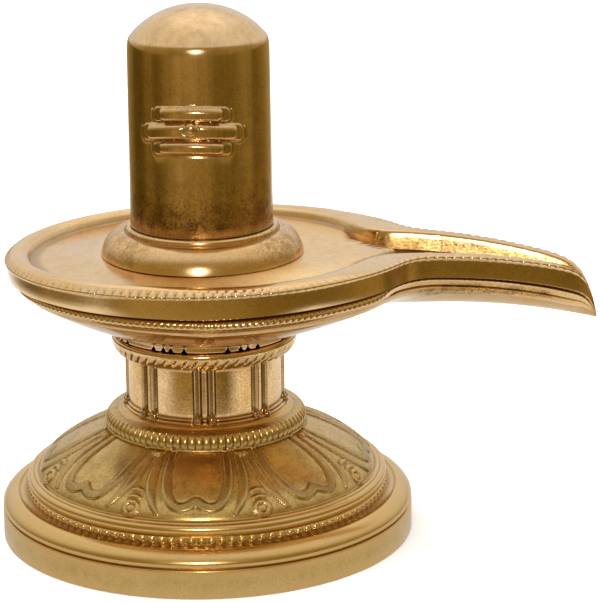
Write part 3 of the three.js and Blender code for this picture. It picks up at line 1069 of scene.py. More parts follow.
def foot_bead_row(sizes):
    """One bead, copied evenly round the foot"""
    one = bead("foot_bead", FOOT_BEAD, segments=10, rings=6)
    step = FULL_TURN / sizes.beads
    middle = np.array((sizes.foot_radius / MM - FOOT_BEAD_INSET, 0, FOOT_BEAD_HEIGHT)) * MM
    places = []
    for k in range(sizes.beads):
        turn = np.array(Matrix.Rotation(k * step, 3, "Z"))
        places.append((turn, turn @ middle))
    return copy_to_places("foot_bead_row", one, places)


BASE_STEPS = 756
BAND_PITTED, BAND_FADE = 0.2, (5.2, 5.5)
DOME_PITTED, DOME_FADE = 0.4, (12.4, 13.2)


class BaseOperator(bpy.types.Operator):
    """Turns the lotus base, raises its petals and ribs and sets the bead row in its foot"""

    bl_idname = "brass_lingam.lotus_base"
    bl_label = "Lotus base"

    def execute(self, context):
        settings = context.scene.brass_lingam
        sizes = settings.base
        piece = turn_outline("lotus_base_petalled", base_outline(sizes), BASE_STEPS)
        places = cylinder_places(piece)
        petal_rise, petal_shade = petal_relief(sizes, *places)
        rib_rise, rib_shade = rib_relief(sizes, *places)
        raise_relief(piece, petal_rise + rib_rise)
        store_on_vertices(piece, "shade", np.maximum(petal_shade, rib_shade))
        unite(piece, foot_bead_row(sizes))
        dark = take_shade(piece)
        _, _, height = cylinder_places(piece)
        colours = settings.colours
        finish = brass("base_brass_finish", colours.dull, colours.olive, colours.grooves,
                       roughness=0.22, cloud_share=0.6)
        pitted = BAND_PITTED * (1 - ease(height, *BAND_FADE)) + DOME_PITTED * ease(height, *DOME_FADE)
        finish_piece(piece, "lotus_base", finish, painted_shade=dark, pitted=pitted)
        return {"FINISHED"}


# The yoni dish

DISH_WIDEST = 2.0
SHOULDER = ((15, 34.9), (27, 27.9), (34, 20))
THROAT = ((38.2, 15), (38.6, 10.9), (46, 10))
NOSE_START = (66, 5.5)
NOSE = ((70.2, 4.55), (75, 2.9), (75.7, 0))
POOL_BACK = -33.8
POOL_HALF_WIDTH = 30.9
POOL_SHOULDER = ((14, 30.9), (24.6, 24.5), (29.8, 14.5))
POOL_CORNER = ((31.4, 11.4), (32.8, 9.2), (37.0, 8.7))
CHANNEL_HALF_WIDTHS = ((46, 7.5), (66, 3.6))
CHANNEL_NOSE = ((70, 3.0), (73.2, 1.9), (73.2, 0))
PLAN_STEPS = 600
LIP_LEAN = 0.022
SPOUT_START = 34
SPOUT_FALL = 6.0
SPOUT_BEND = 2.2
NOSE_FALL = 9.05
NOSE_SHARPNESS = 24
SPOUT_WALL_SCALE = 0.91
BACK_WALL_SCALE = 0.8
BACK_INSET = 1.2
WALL_DEPTH = 8.7
NOSE_WALL_SCALE = 0.04
CROWN_RISE = 0.6
BACK_CROWN_RISE = 1.2
INNER_SLOPE = 1.25
EDGE_FLOOR = 55.2
BACK_FALL = 0.6
CHANNEL_DEPTH = 3.5
TONGUE_TIP = 36.3
TONGUE_SLOPE = 1.05
SPUR_START = 36
CHANNEL_TIP = 71.0
KEEL_TIP = 74.3
FOOT_BAND = 1.2
BEAD_RISE = -0.2
ROPE_RISE = -6.2
WALL_STEEPNESS = 0.75
GROOVE_RISE = -5.2
SPOUT_BLEND = (30, 46)
NOSE_INSET = 0.4
CROWN_BLEND, CROWN_FADE, SPOUT_CROWN = (-10, 15), (24, 34), 0.2
KEEL_RISE, KEEL_RISE_LENGTH = 4.6, 6.5
KEEL_DROP, KEEL_DROP_START = 3.1, 45
CHANNEL_LEVELLING = 6
TONGUE_STEP, TONGUE_FADE = 1.8, (27, 30.5)


def run_along(path):
    """Length of a path up to each of its points"""
    return np.concatenate(([0], np.cumsum(np.linalg.norm(np.diff(path, axis=0), axis=1))))


def at_shares(path, shares):
    run = run_along(path)
    return np.stack([np.interp(shares * run[-1], run, path[:, k]) for k in (0, 1)], 1)


def inward_of(half):
    """Inward directions of a half plan that runs from the nose to the back along +Y"""
    before = np.concatenate((half[1:2] * (1, -1), half[:-1]))
    after = np.concatenate((half[1:], half[-2:-1] * (1, -1)))
    way = after - before
    inward = np.stack((-way[:, 1], way[:, 0]), 1)
    return inward / np.linalg.norm(inward, axis=1)[:, None]


class DishShape:
    """The dish's plan and heights, in millimetres. Half rings run from the nose along +Y to the back"""

    def __init__(self, sizes):
        self.lip_level = sizes.lip_height / MM
        self.tip = sizes.spout_tip / MM
        self.floor_level = sizes.floor_height / MM
        self.seat_level = sizes.seat_height / MM
        self.waist_level = self.seat_level + FOOT_BAND
        self.seat_radius = sizes.seat_radius / MM
        self.back, wide = sizes.back / MM, sizes.half_width / MM
        outer = self.legs(self.back, DISH_WIDEST, wide, SHOULDER, THROAT, NOSE_START, NOSE)
        pool_throat = curve((POOL_SHOULDER[-1], *POOL_CORNER), 40)
        pool_throat += straight(pool_throat[-1], CHANNEL_HALF_WIDTHS[0], 30)
        inner = self.legs(POOL_BACK, 0, POOL_HALF_WIDTH, POOL_SHOULDER, None, CHANNEL_HALF_WIDTHS[1],
                          CHANNEL_NOSE, pool_throat)
        ends = np.cumsum([run_along(leg)[-1] for leg in outer])
        starts = np.concatenate(([0], ends[:-1]))
        self.run = np.linspace(0, ends[-1], PLAN_STEPS + 1)
        leg_of = np.minimum(np.searchsorted(ends, self.run), len(outer) - 1)
        self.plan = np.empty((PLAN_STEPS + 1, 2))
        self.pool = np.empty((PLAN_STEPS + 1, 2))
        for k in range(len(outer)):
            here = leg_of == k
            shares = (self.run[here] - starts[k]) / (ends[k] - starts[k])
            self.plan[here] = at_shares(outer[k], shares)
            self.pool[here] = at_shares(inner[k], shares)
        self.inward = inward_of(self.plan)
        self.pool_inward = inward_of(self.pool)
        self.x = self.plan[:, 0]
        self.split = int(np.argmax(self.x < SPUR_START))

    def legs(self, back, middle, wide, shoulder, throat, nose_start, nose, drawn_throat=None):
        """The four legs of a half plan from the nose to the back: spout, throat, shoulder and oval"""
        quarter = np.linspace(pi, pi / 2, 200)
        oval = [(middle + (middle - back) * cos(a), wide * sin(a)) for a in quarter]
        bend = [oval[-1]] + curve((oval[-1], *shoulder), 120)
        narrows = [bend[-1]] + (drawn_throat or curve((bend[-1], *throat), 60))
        spout = [narrows[-1]] + straight(narrows[-1], nose_start, 60) + curve((nose_start, *nose), 120)
        return [np.array(leg)[::-1] for leg in (spout, narrows, bend, oval)]

    def along(self, x):
        return np.clip((x - SPOUT_START) / (self.tip - SPOUT_START), 0, 1)

    def lip(self, x):
        along = self.along(x)
        level = self.lip_level + LIP_LEAN * np.minimum(x, SPOUT_START)
        return level - SPOUT_FALL * along ** SPOUT_BEND - NOSE_FALL * along ** NOSE_SHARPNESS

    def nose(self, x):
        return np.clip((x - NOSE_START[0]) / (self.tip - NOSE_START[0]), 0, 1)

    def backness(self, x):
        """0 along the front half of the dish, 1 at its back"""
        return np.clip((DISH_WIDEST - x) / (DISH_WIDEST - self.back), 0, 1)

    def wall_scale(self, x):
        lower = (1 - BACK_WALL_SCALE) * self.backness(x)
        lower += (1 - SPOUT_WALL_SCALE) * ease(x, *SPOUT_BLEND)
        return 1 - lower - (SPOUT_WALL_SCALE - NOSE_WALL_SCALE) * self.nose(x) ** 4

    def inset_scale(self, x):
        return (1 - NOSE_INSET * ease(x, SPOUT_BLEND[1], self.tip)) * (1 - self.nose(x) ** 3)

    def crown(self, x):
        """How far the lip's top stands above its edge: more at the back, less towards the spout"""
        rise = mix(BACK_CROWN_RISE, CROWN_RISE, ease(x, *CROWN_BLEND))
        return rise * mix(1, SPOUT_CROWN, ease(x, *CROWN_FADE)) * (1 - self.nose(x) ** 2)

    def keel(self, x):
        rise = (KEEL_RISE - FOOT_BAND) * (1 - np.exp(-(x - self.seat_radius) / KEEL_RISE_LENGTH))
        drop = np.clip((x - KEEL_DROP_START) / (KEEL_TIP - KEEL_DROP_START), 0, 1)
        return self.waist_level + rise - KEEL_DROP * drop ** 2

    def floor(self, x, y, plain):
        """Height of the floor, which steps down past its tongue into the spout's channel"""
        channel = self.lip(x) - CHANNEL_DEPTH * (1 - self.along(x) ** CHANNEL_LEVELLING)
        past = x - TONGUE_TIP + np.abs(y) / TONGUE_SLOPE
        share = ease(past, 0, TONGUE_STEP) * ease(x, *TONGUE_FADE)
        return mix(plain, np.minimum(plain, channel), share)

    def wall_ring(self, inset, rise, shade=0.0):
        """A half ring round the outside, inset from the plan and raised from the lip's edge"""
        lean = BACK_INSET * self.backness(self.x) * np.maximum(-rise, 0) / WALL_DEPTH
        step = (inset + lean) * self.inset_scale(self.x)
        place = self.plan + self.inward * step[:, None]
        place[:, 1] = np.maximum(place[:, 1], 0)
        place[0, 1] = place[-1, 1] = 0
        scale = np.where(np.asarray(rise) > 0, self.crown(self.x) / CROWN_RISE, self.wall_scale(self.x))
        return np.column_stack((place, self.lip(self.x) + rise * scale, np.broadcast_to(shade, len(place))))

    def pool_ring(self, inset):
        """A half ring round the pool and the channel, its height left at 0"""
        place = self.pool + self.pool_inward * inset
        place[:, 1] = np.maximum(place[:, 1], 0)
        place[0, 1] = place[-1, 1] = 0
        return np.column_stack((place, np.zeros((len(place), 2))))

    def middle_ring(self, radius, level, tip, height_at):
        """A half ring that runs along the middle of the spout, then round a circle"""
        half = np.zeros((len(self.plan), 4))
        spur = np.arange(self.split)
        share = (self.x[spur] - self.x[0]) / (self.x[self.split] - self.x[0])
        half[spur, 0] = mix(tip, radius, share)
        half[spur, 2] = height_at(half[spur, 0])
        bearing = np.arctan2(self.plan[self.split:, 1], self.x[self.split:])
        angle = (bearing - bearing[0]) / (bearing[-1] - bearing[0]) * pi
        half[self.split:, 0] = radius * np.cos(angle)
        half[self.split:, 1] = radius * np.sin(angle)
        half[self.split:, 2] = level
        half[-1, 1] = 0
        return half


def lobes(shape, rise, middle, pitch, half_length, half_height, slant):
    """A row of round lobes along the wall at one height: 1 on a lobe's top, 0 between lobes"""
    count = round(shape.run[-1] / pitch)
    step = shape.run[-1] / count
    lean = slant * (rise - middle)
    away = ((shape.run + lean) / step % 1 - 0.5) * step
    return np.sqrt(np.maximum(1 - (away / half_length) ** 2 - ((rise - middle) / half_height) ** 2, 0))


PLAIN_SPOUT = (33, 39)
ROPE_LOW, ROPE_HIGH, ROPE_RINGS = -6.85, -5.55, 8
ROPE_INSET, ROPE_HALF, ROPE_SWELL = 1.65, 0.68, 0.2
ROPE_SHADE, ROPE_SPOUT_LEAN = 0.12, 0.55
STRAND_HALF_LENGTH, STRAND_HALF_HEIGHT, STRAND_SLANT, STRAND_SWELL = 0.56, 0.72, 0.8, 0.17


def rope_rings(shape, pitch):
    """The rope row: a half-round with slanted strands, plain along the spout"""
    plain = ease(shape.x, *PLAIN_SPOUT)
    rings = []
    for rise in np.linspace(ROPE_LOW, ROPE_HIGH, ROPE_RINGS):
        body = half_round((rise - ROPE_RISE) / ROPE_HALF)
        strand = lobes(shape, rise, ROPE_RISE, pitch, STRAND_HALF_LENGTH, STRAND_HALF_HEIGHT, STRAND_SLANT)
        swell = (ROPE_SWELL * body + STRAND_SWELL * strand) * (1 - plain)
        inset = ROPE_INSET - swell - ROPE_SPOUT_LEAN * plain * (rise - ROPE_HIGH)
        rings.append(shape.wall_ring(inset, rise, ROPE_SHADE * (1 - body) * (1 - plain)))
    return rings


# The waves of a rough edge as share, radians per millimetre and start
ROUGH_WAVES = ((0.5, 5.1, 0), (0.3, 8.7, 1), (0.2, 13.3, 2))
ROUGH_SHIFT = 0.09
CLEFT_SHADE, CLEFT_SHADE_SWING = 0.55, 0.25
# The groove from below as inset and rise, and the shade of its lowest and highest ring
GROOVE_SECTION = ((1.65, -0.22), (1.95, 0), (1.75, 0.2), (1.15, 0.36))
GROOVE_FOOT_SHADE, GROOVE_BROW_SHADE = 0.2, 0.1


def groove_rings(shape):
    """The sharp groove above the rope row, rough along the spout"""
    jag = sum(share * np.sin(pace * shape.run + start) for share, pace, start in ROUGH_WAVES)
    jag = jag * ease(shape.x, *PLAIN_SPOUT)
    middle = GROOVE_RISE + ROUGH_SHIFT * jag
    cleft = CLEFT_SHADE + CLEFT_SHADE_SWING * jag
    shades = (GROOVE_FOOT_SHADE, cleft, cleft, GROOVE_BROW_SHADE)
    return [
        shape.wall_ring(inset, middle + rise, shade)
        for (inset, rise), shade in zip(GROOVE_SECTION, shades)
    ]


BEAD_LOW, BEAD_HIGH, BEAD_RINGS = -0.85, 0.42, 11
BEAD_HALF_LENGTH, BEAD_HALF_HEIGHT, BEAD_GAP_HALF = 0.82, 0.54, 0.5
BEAD_SWELL, BEAD_LIFT, BEAD_SHADE = 0.36, 0.2, 0.2
BEAD_SLANT, SLANT_BLEND = 0.55, (30, 40)
BACK_BEADS, BACK_BLEND = 0.4, (-26, -8)
SIDE_WEAR, SIDE_WEAR_START, SIDE_WEAR_END = 0.6, (8, 16), (33, 38)
EDGE_INSET, EDGE_UNDERCUT = 0.14, 0.06
EDGE_BEND, EDGE_ROUND = 0.45, 1.8


def edge_inset(rise):
    """Inset of the lip's edge without its beads: upright, undercut a little and rounded over at the top"""
    over = max(0, rise + EDGE_BEND) / (BEAD_HIGH + EDGE_BEND)
    return EDGE_INSET + over ** EDGE_ROUND + EDGE_UNDERCUT * ease(-rise, EDGE_BEND, -BEAD_LOW)


def bead_rings(shape, pitch):
    """The lip's edge with its beads, worn down at the back and beside the throat, slanted along the spout"""
    x = shape.x
    worn = mix(BACK_BEADS, 1, ease(x, *BACK_BLEND))
    worn = worn * (1 - SIDE_WEAR * ease(x, *SIDE_WEAR_START) * (1 - ease(x, *SIDE_WEAR_END)))
    slant = BEAD_SLANT * ease(x, *SLANT_BLEND)
    rings = []
    for rise in np.linspace(BEAD_LOW, BEAD_HIGH, BEAD_RINGS):
        beads = worn * lobes(shape, rise, BEAD_RISE, pitch, BEAD_HALF_LENGTH, BEAD_HALF_HEIGHT, slant)
        between = worn * max(0, 1 - ((rise - BEAD_RISE) / BEAD_GAP_HALF) ** 2) - beads
        shade = BEAD_SHADE * np.clip(between, 0, 1)
        ring = shape.wall_ring(edge_inset(rise) - BEAD_SWELL * beads, np.full_like(x, rise), shade)
        ring[:, 2] += BEAD_LIFT * beads * shape.wall_scale(x)
        rings.append(ring)
    return rings


STEEP_BLEND = (28, 40)
UPRIGHT_RISES, UPRIGHT_INSETS = (-4.74, -4.45, -1.1), (0.75, 0.12, 0.2)
# The wall from below as inset and rise, with the shade of its crease
WALL_CREASE = ((3.45, -8.72, 0.1), (3.3, -8.6, 0.4))
WALL_ROLL, WALL_ROLL_SWELL = ((3.1, -8.48), (2.3, -7.2)), 0.16
ROPE_QUIRK = ((2.36, -7.06), (2.15, -6.95))
WALL_CURVE = ((0.92, -4.74), (0.35, -4.3), (0.0, -3.6), (0.2, -1.1))
LIP_BROW = ((1.45, 0.52), (1.9, CROWN_RISE))


def wall_rings(shape, sizes):
    """Rings up the outside, from the crease under the rope row to the lip's crown"""
    low = [WALL_ROLL[0], *bow(*WALL_ROLL, WALL_ROLL_SWELL, steps=4), *ROPE_QUIRK]
    rings = [shape.wall_ring(*place) for place in (*WALL_CREASE, *low)]
    rings += rope_rings(shape, sizes.rope_pitch / MM)
    rings += groove_rings(shape)
    steep = mix(WALL_STEEPNESS, 1, ease(shape.x, *STEEP_BLEND))
    for inset, rise in [WALL_CURVE[0]] + curve(WALL_CURVE, steps=5):
        upright = np.interp(rise, UPRIGHT_RISES, UPRIGHT_INSETS)
        rings.append(shape.wall_ring(mix(inset, upright, steep), np.full_like(steep, rise)))
    rings += bead_rings(shape, sizes.bead_pitch / MM)
    return rings + [shape.wall_ring(*place) for place in LIP_BROW]


UNDERSIDE_SHARES = (0.06, 0.14, 0.25, 0.38, 0.52, 0.66, 0.8, 0.92)
SIDE_SAG, BACK_SAG, SPOUT_SAG, BACK_SAG_BLEND = 0.85, 0.5, 0.3, (-5, 30)


def underside_rings(shape, wall_foot):
    """Rings from the seat and the spout's keel out to the foot of the wall, sagging between the two"""
    x = shape.x
    seat = shape.middle_ring(shape.seat_radius, shape.waist_level, KEEL_TIP, shape.keel)
    spout = ease(seat[:, 0], shape.seat_radius, SPUR_START) * shape.wall_scale(x)
    sag = mix(mix(SIDE_SAG, BACK_SAG, ease(-x, *BACK_SAG_BLEND)), SPOUT_SAG, spout)
    rings = [seat]
    for share in UNDERSIDE_SHARES:
        belly = mix(seat, wall_foot, share)
        belly[:, 2] -= sag * 4 * share * (1 - share) * (1 - shape.nose(x))
        rings.append(belly)
    return rings


LIP_RINGS, LIP_SWELL, BRINK_DROP = 6, 0.2, 0.35


def lip_rings(shape, crown):
    """Rings over the rolled lip, from its crown to the brink of the pool"""
    brink = shape.pool_ring(0)
    rings = []
    for share in np.linspace(0, 1, LIP_RINGS + 1)[1:]:
        lip = mix(crown, brink, share)
        rise = shape.crown(lip[:, 0]) * (1 + LIP_SWELL * sin(pi * share) - BRINK_DROP * share)
        lip[:, 2] = shape.lip(lip[:, 0]) + rise
        rings.append(lip)
    return rings


FLOOR_RINGS = 16
FLOOR_TRIALS = 120
FLOOR_MIDDLE = 19.0
STEP_WEIGHT = 12


def floor_rings(shape, edge, plain_edge):
    """Rings from the pool's edge to the middle of the floor, closer together where the floor is steep"""
    middle = shape.middle_ring(FLOOR_MIDDLE, shape.floor_level, CHANNEL_TIP, np.zeros_like)

    def floor_ring(share):
        floor = mix(edge, middle, share[:, None])
        plain = mix(plain_edge, shape.floor_level, ease(share, 0, 1))
        floor[:, 2] = shape.floor(floor[:, 0], floor[:, 1], plain)
        return floor

    trial = np.linspace(0, 1, FLOOR_TRIALS + 1)
    spots = np.stack([floor_ring(np.full(len(edge), share)) for share in trial])[:, :, :3]
    spots[:, :, 2] *= STEP_WEIGHT
    gained = np.cumsum(np.linalg.norm(np.diff(spots, axis=0), axis=2), axis=0)
    gained = np.concatenate((np.zeros((1, len(edge))), gained)) / gained[-1]
    rings = []
    for part in np.linspace(0, 1, FLOOR_RINGS + 1)[1:]:
        share = np.array([np.interp(part, column, trial) for column in gained.T])
        rings.append(floor_ring(share))
    return rings


# The pool's inner wall as inset from its brink and share of the drop to the floor
INNER_WALL = ((0.15, 0.04), (0.33, 0.15), (0.52, 0.36), (0.7, 0.6), (0.88, 0.81), (1.06, 0.95))


def dish_half_rings(shape, sizes):
    """All half rings of the dish, from its seat round the lip to the middle of the floor"""
    wall = wall_rings(shape, sizes)
    rings = underside_rings(shape, wall[0]) + wall + lip_rings(shape, wall[-1])
    brink = rings[-1]
    edge = shape.pool_ring(INNER_SLOPE)
    plain_edge = EDGE_FLOOR - BACK_FALL * ease(-edge[:, 0], 0, -POOL_BACK)
    edge[:, 2] = shape.floor(edge[:, 0], edge[:, 1], plain_edge)
    for inset, drop in INNER_WALL:
        inner = shape.pool_ring(inset)
        inner[:, 2] = mix(brink[:, 2], edge[:, 2], drop)
        rings.append(inner)
    return rings + floor_rings(shape, edge, plain_edge)


def loft(name, half_rings, split, foot):
    """A closed body through mirrored half rings of (x, y, z, shade), with a turned foot below it"""
    rings = [np.concatenate((half, half[-2:0:-1] * (1, -1, 1, 1))) for half in half_rings]
    size = len(rings[0])
    column = np.arange(size)
    beside = (column + 1) % size
    faces = []
    for k in range(len(rings) - 1):
        low, high = k * size, (k + 1) * size
        faces += np.stack((low + column, low + beside, high + beside, high + column), 1).tolist()
    top = np.arange(split, size - split + 1) + (len(rings) - 1) * size
    edge = np.arange(split, size - split + 1)
    outward = rings[0][edge, :2] / np.hypot(rings[0][edge, 0], rings[0][edge, 1])[:, None]
    for radius, level in foot:
        lower = sum(map(len, rings)) + np.arange(len(outward))
        rings.append(np.column_stack((outward * radius, np.tile((level, 0), (len(outward), 1)))))
        faces += np.stack((lower[:-1], lower[1:], edge[1:], edge[:-1]), 1).tolist()
        edge = lower
    ends = np.array([(0, 0, foot[-1][1], 0), (0, 0, half_rings[-1][split, 2], 0)])
    points = np.concatenate(rings + [ends])
    for ring, middle in ((edge, len(points) - 2), (top, len(points) - 1)):
        faces += [(middle, a, b) for a, b in zip(ring.tolist(), ring[1:].tolist())]
    mesh = bpy.data.meshes.new(name)
    mesh.from_pydata((points[:, :3] * MM).tolist(), [], faces)
    piece = bpy.data.objects.new(name, mesh)
    bpy.context.scene.collection.objects.link(piece)
    store_on_vertices(piece, "shade", points[:, 3])
    close_and_turn_out(piece)
    return piece


SEAT_TURN = radians(2.9)
SEAT_GAPS = (13.4, 21.8, 26.7, 33.6)
SEAT_GAP_HALF = 0.5
SEAT_GAP_HEIGHT = 0.85
SEAT_GAP_DEPTH = 0.9
SEAT_GAP_EDGE = (-0.12, 0.06)


def seat_gap_share(shape, angle, radius, height):
    """1 inside the small three-cornered gaps in the foot's band, 0 elsewhere"""
    above = height - shape.seat_level
    turn = np.abs((angle - FRONT - SEAT_TURN + pi / 4) % (pi / 2) - pi / 4)
    inside = np.zeros_like(angle)
    for place in SEAT_GAPS:
        away = np.abs(turn - radians(place)) * shape.seat_radius
        reach = SEAT_GAP_HALF * (1 - above / SEAT_GAP_HEIGHT)
        inside = np.maximum(inside, 1 - ease(away - reach, *SEAT_GAP_EDGE))
    low = (above < SEAT_GAP_HEIGHT) & (height < shape.waist_level)
    return inside * low * (radius > shape.seat_radius / 2)


MASK_EDGE, LIP_MARGIN = 0.6, 0.4
CHANNEL_MOUTH, KEEL_MARGIN = (30, 37), 3.2
CHANNEL_PLACES, CHANNEL_REACHES = (28, 36, 46, 66, 73), (12, 8.6, 7.4, 3.8, 1)
POOL_MARGIN = 2


def below_lip(shape, points):
    """0 at the level of the lip's edge, 1 well below it"""
    return ease(shape.lip(points[:, 0]) - LIP_MARGIN - points[:, 2], 0, MASK_EDGE)


def channel_share(shape, points):
    """1 inside the spout's channel, 0 elsewhere"""
    x, aside, height = points[:, 0], np.abs(points[:, 1]), points[:, 2]
    inside = ease(x, *CHANNEL_MOUTH) * below_lip(shape, points) * (height > shape.keel(x) + KEEL_MARGIN)
    reach = np.interp(x, CHANNEL_PLACES, CHANNEL_REACHES)
    return inside * (1 - ease(aside - reach, 0, MASK_EDGE))


def pool_share(shape, points):
    """1 on the floor of the pool, 0 elsewhere"""
    near = np.hypot(points[:, 0], points[:, 1]) < POOL_HALF_WIDTH
    return below_lip(shape, points) * near * (points[:, 2] > shape.floor_level - POOL_MARGIN)


# The band below the dish as offsets from its waist and from its seat
SEAT_BAND_TOP, SEAT_BAND_INSET = (-0.12, -0.1), -0.15
SEAT_BAND_RISES = (0.95, 0.78, 0.6, 0.42, 0.24, 0.1)
SEAT_EDGE = (-0.25, 0)
DISH_PITTED = 0.15
BACK_BRUSHED, BRUSHED_BLEND = 0.5, (8, 20)


class DishOperator(bpy.types.Operator):
    """Lofts the dish and its spout, with the beads of the lip, the rope row and the gaps by the seat"""

    bl_idname = "brass_lingam.yoni_dish"
    bl_label = "Yoni dish"

    def execute(self, context):
        settings = context.scene.brass_lingam
        sizes = settings.dish
        shape = DishShape(sizes)
        seat = (shape.seat_radius, shape.seat_level)
        foot = offset((shape.seat_radius, shape.waist_level), SEAT_BAND_TOP)
        foot += offset(seat, *((SEAT_BAND_INSET, rise) for rise in SEAT_BAND_RISES), SEAT_EDGE)
        piece = loft("yoni_dish_spouted", dish_half_rings(shape, sizes), shape.split, foot)
        gaps = seat_gap_share(shape, *cylinder_places(piece))
        raise_relief(piece, -SEAT_GAP_DEPTH * gaps)
        points = vertex_array(piece) / MM
        colours = settings.colours
        finish = brass("dish_brass_finish", colours.polished, colours.golden, colours.grooves,
                       roughness=0.12, cloud_share=0.55, matte_share=0.3)
        # Painted shade: the gaps in the seat band are painted fully dark, over the painted shade carried by
        # the rings
        dark = np.maximum(gaps, take_shade(piece))
        pitted = mix(DISH_PITTED, 1, channel_share(shape, points))
        brushed = pool_share(shape, points) * mix(BACK_BRUSHED, 1, ease(-points[:, 1], *BRUSHED_BLEND))
        finish_piece(piece, "yoni_dish", finish, painted_shade=dark, pitted=pitted, brushed=brushed)
        return {"FINISHED"}


# The stage

def plain_material(name, colour, roughness):
    material = bpy.data.materials.new(name)
    desk = NodeDesk(material)
    shader = desk.add("ShaderNodeBsdfPrincipled")
    shader.inputs["Base Color"].default_value = opaque(colour)
    shader.inputs["Roughness"].default_value = roughness
    output = desk.add("ShaderNodeOutputMaterial")
    desk.feed(output.inputs["Surface"], shader.outputs["BSDF"])
    return material


SENSOR_WIDTH = 36
CLIP_START, CLIP_END = 0.01, 100


def add_camera(stage):
    data = bpy.data.cameras.new("photo_camera")
    data.sensor_fit = "HORIZONTAL"
    data.sensor_width = SENSOR_WIDTH
    data.lens = stage.lens
    data.clip_start = CLIP_START
    data.clip_end = CLIP_END
    camera = bpy.data.objects.new("photo_camera", data)
    bpy.context.scene.collection.objects.link(camera)
    ahead = Vector((0, cos(stage.pitch), -sin(stage.pitch)))
    camera.location = Vector(stage.aim) - ahead * stage.distance
    look = Euler((pi / 2 - stage.pitch, 0, 0)).to_matrix() @ Matrix.Rotation(stage.roll, 3, "Z")
    camera.rotation_euler = look.to_euler()
    bpy.context.scene.camera = camera


def add_area_light(name, place, size, power, glossy):
    """A soft round panel that faces the object"""
    data = bpy.data.lights.new(name, "AREA")
    data.shape = "DISK"
    data.size = size
    data.energy = power
    light = bpy.data.objects.new(name, data)
    light.location = place
    light.rotation_euler = (Vector(LIGHT_TARGET) - Vector(place)).to_track_quat("-Z", "Y").to_euler()
    light.visible_glossy = glossy
    light.visible_camera = False
    bpy.context.scene.collection.objects.link(light)


def set_ramp(ramp, stops):
    """Gives a colour ramp its stops of (place, colour)"""
    elements = ramp.color_ramp.elements
    elements.remove(elements[0])
    elements[0].position, elements[0].color = stops[0][0], opaque(stops[0][1])
    for place, colour in stops[1:]:
        elements.new(place).color = opaque(colour)


SKY_AXIS = (0, 0.5, 0.866)
SKY_LEVELS = (
    (-1, 0.2), (-0.5, 0.22), (0, 0.3), (0.26, 0.36), (0.5, 0.7), (0.71, 0.85), (0.87, 0.85), (1, 1.2),
)
BACKDROP_STRENGTH = 1.1


def add_world():
    """Soft light from all round, strongest high behind the object, and white behind it in the picture"""
    world = bpy.data.worlds.new("studio_surround")
    bpy.context.scene.world = world
    desk = NodeDesk(world)
    towards = desk.add("ShaderNodeVectorMath", operation="DOT_PRODUCT")
    desk.feed(towards.inputs[0], desk.add("ShaderNodeTexCoord").outputs["Generated"])
    desk.feed(towards.inputs[1], SKY_AXIS)
    ramp = desk.add("ShaderNodeValToRGB")
    desk.feed(ramp.inputs["Fac"], desk.remap(towards.outputs["Value"], -1, 1))
    set_ramp(ramp, [((place + 1) / 2, warm(level)) for place, level in SKY_LEVELS])
    surround = desk.add("ShaderNodeBackground")
    desk.feed(surround.inputs["Color"], ramp.outputs["Color"])
    white = desk.add("ShaderNodeBackground")
    white.inputs["Strength"].default_value = BACKDROP_STRENGTH
    white.inputs["Color"].default_value = (1, 1, 1, 1)
    either = desk.add("ShaderNodeMixShader")
    desk.feed(either.inputs["Fac"], desk.add("ShaderNodeLightPath").outputs["Is Camera Ray"])
    desk.feed(either.inputs[1], surround.outputs["Background"])
    desk.feed(either.inputs[2], white.outputs["Background"])
    desk.feed(desk.add("ShaderNodeOutputWorld").inputs["Surface"], either.outputs["Shader"])


# Levels of the room by bearing in degrees, and of the sheet by distance; the sheet is dimmer close to the
# object, a painted shadow of the object on it
ROOM_LEVELS = (
    (-180, 0.5), (-150, 0.3), (-118, 0.08), (-97, 0.12), (-88, 0.24), (-72, 0.12), (-57, 0.17),
    (-34, 0.36), (-16, 0.31), (14, 0.26), (28, 0.19), (58, 0.16), (87, 0.3), (102, 0.13),
    (120, 0.2), (150, 0.35), (180, 0.5),
)
PAPER_LEVELS = ((40 * MM, 0.72), (60 * MM, 0.68), (85 * MM, 0.85), (110 * MM, 1.0))
PAPER_FRONT, PAPER_HALF_WIDTH = -105 * MM, 132 * MM
GAP_START, GAP_INNER, GAP_OUTER = 97 * MM, radians(34), radians(52)
GAP_TURN = radians(-3)
PAPER_FRONT_EDGE, PAPER_SIDE_EDGE, GAP_EDGE = 10 * MM, 20 * MM, 4 * MM
WHITE_LEVEL = 0.7
SHADE_TINT = (1.14, 0.8, 0.12)


def warm(level):
    """A grey of the room, browner where it is darker"""
    share = min(1, level / WHITE_LEVEL) ** 2
    return [level * mix(tint, 1, share) for tint in SHADE_TINT]


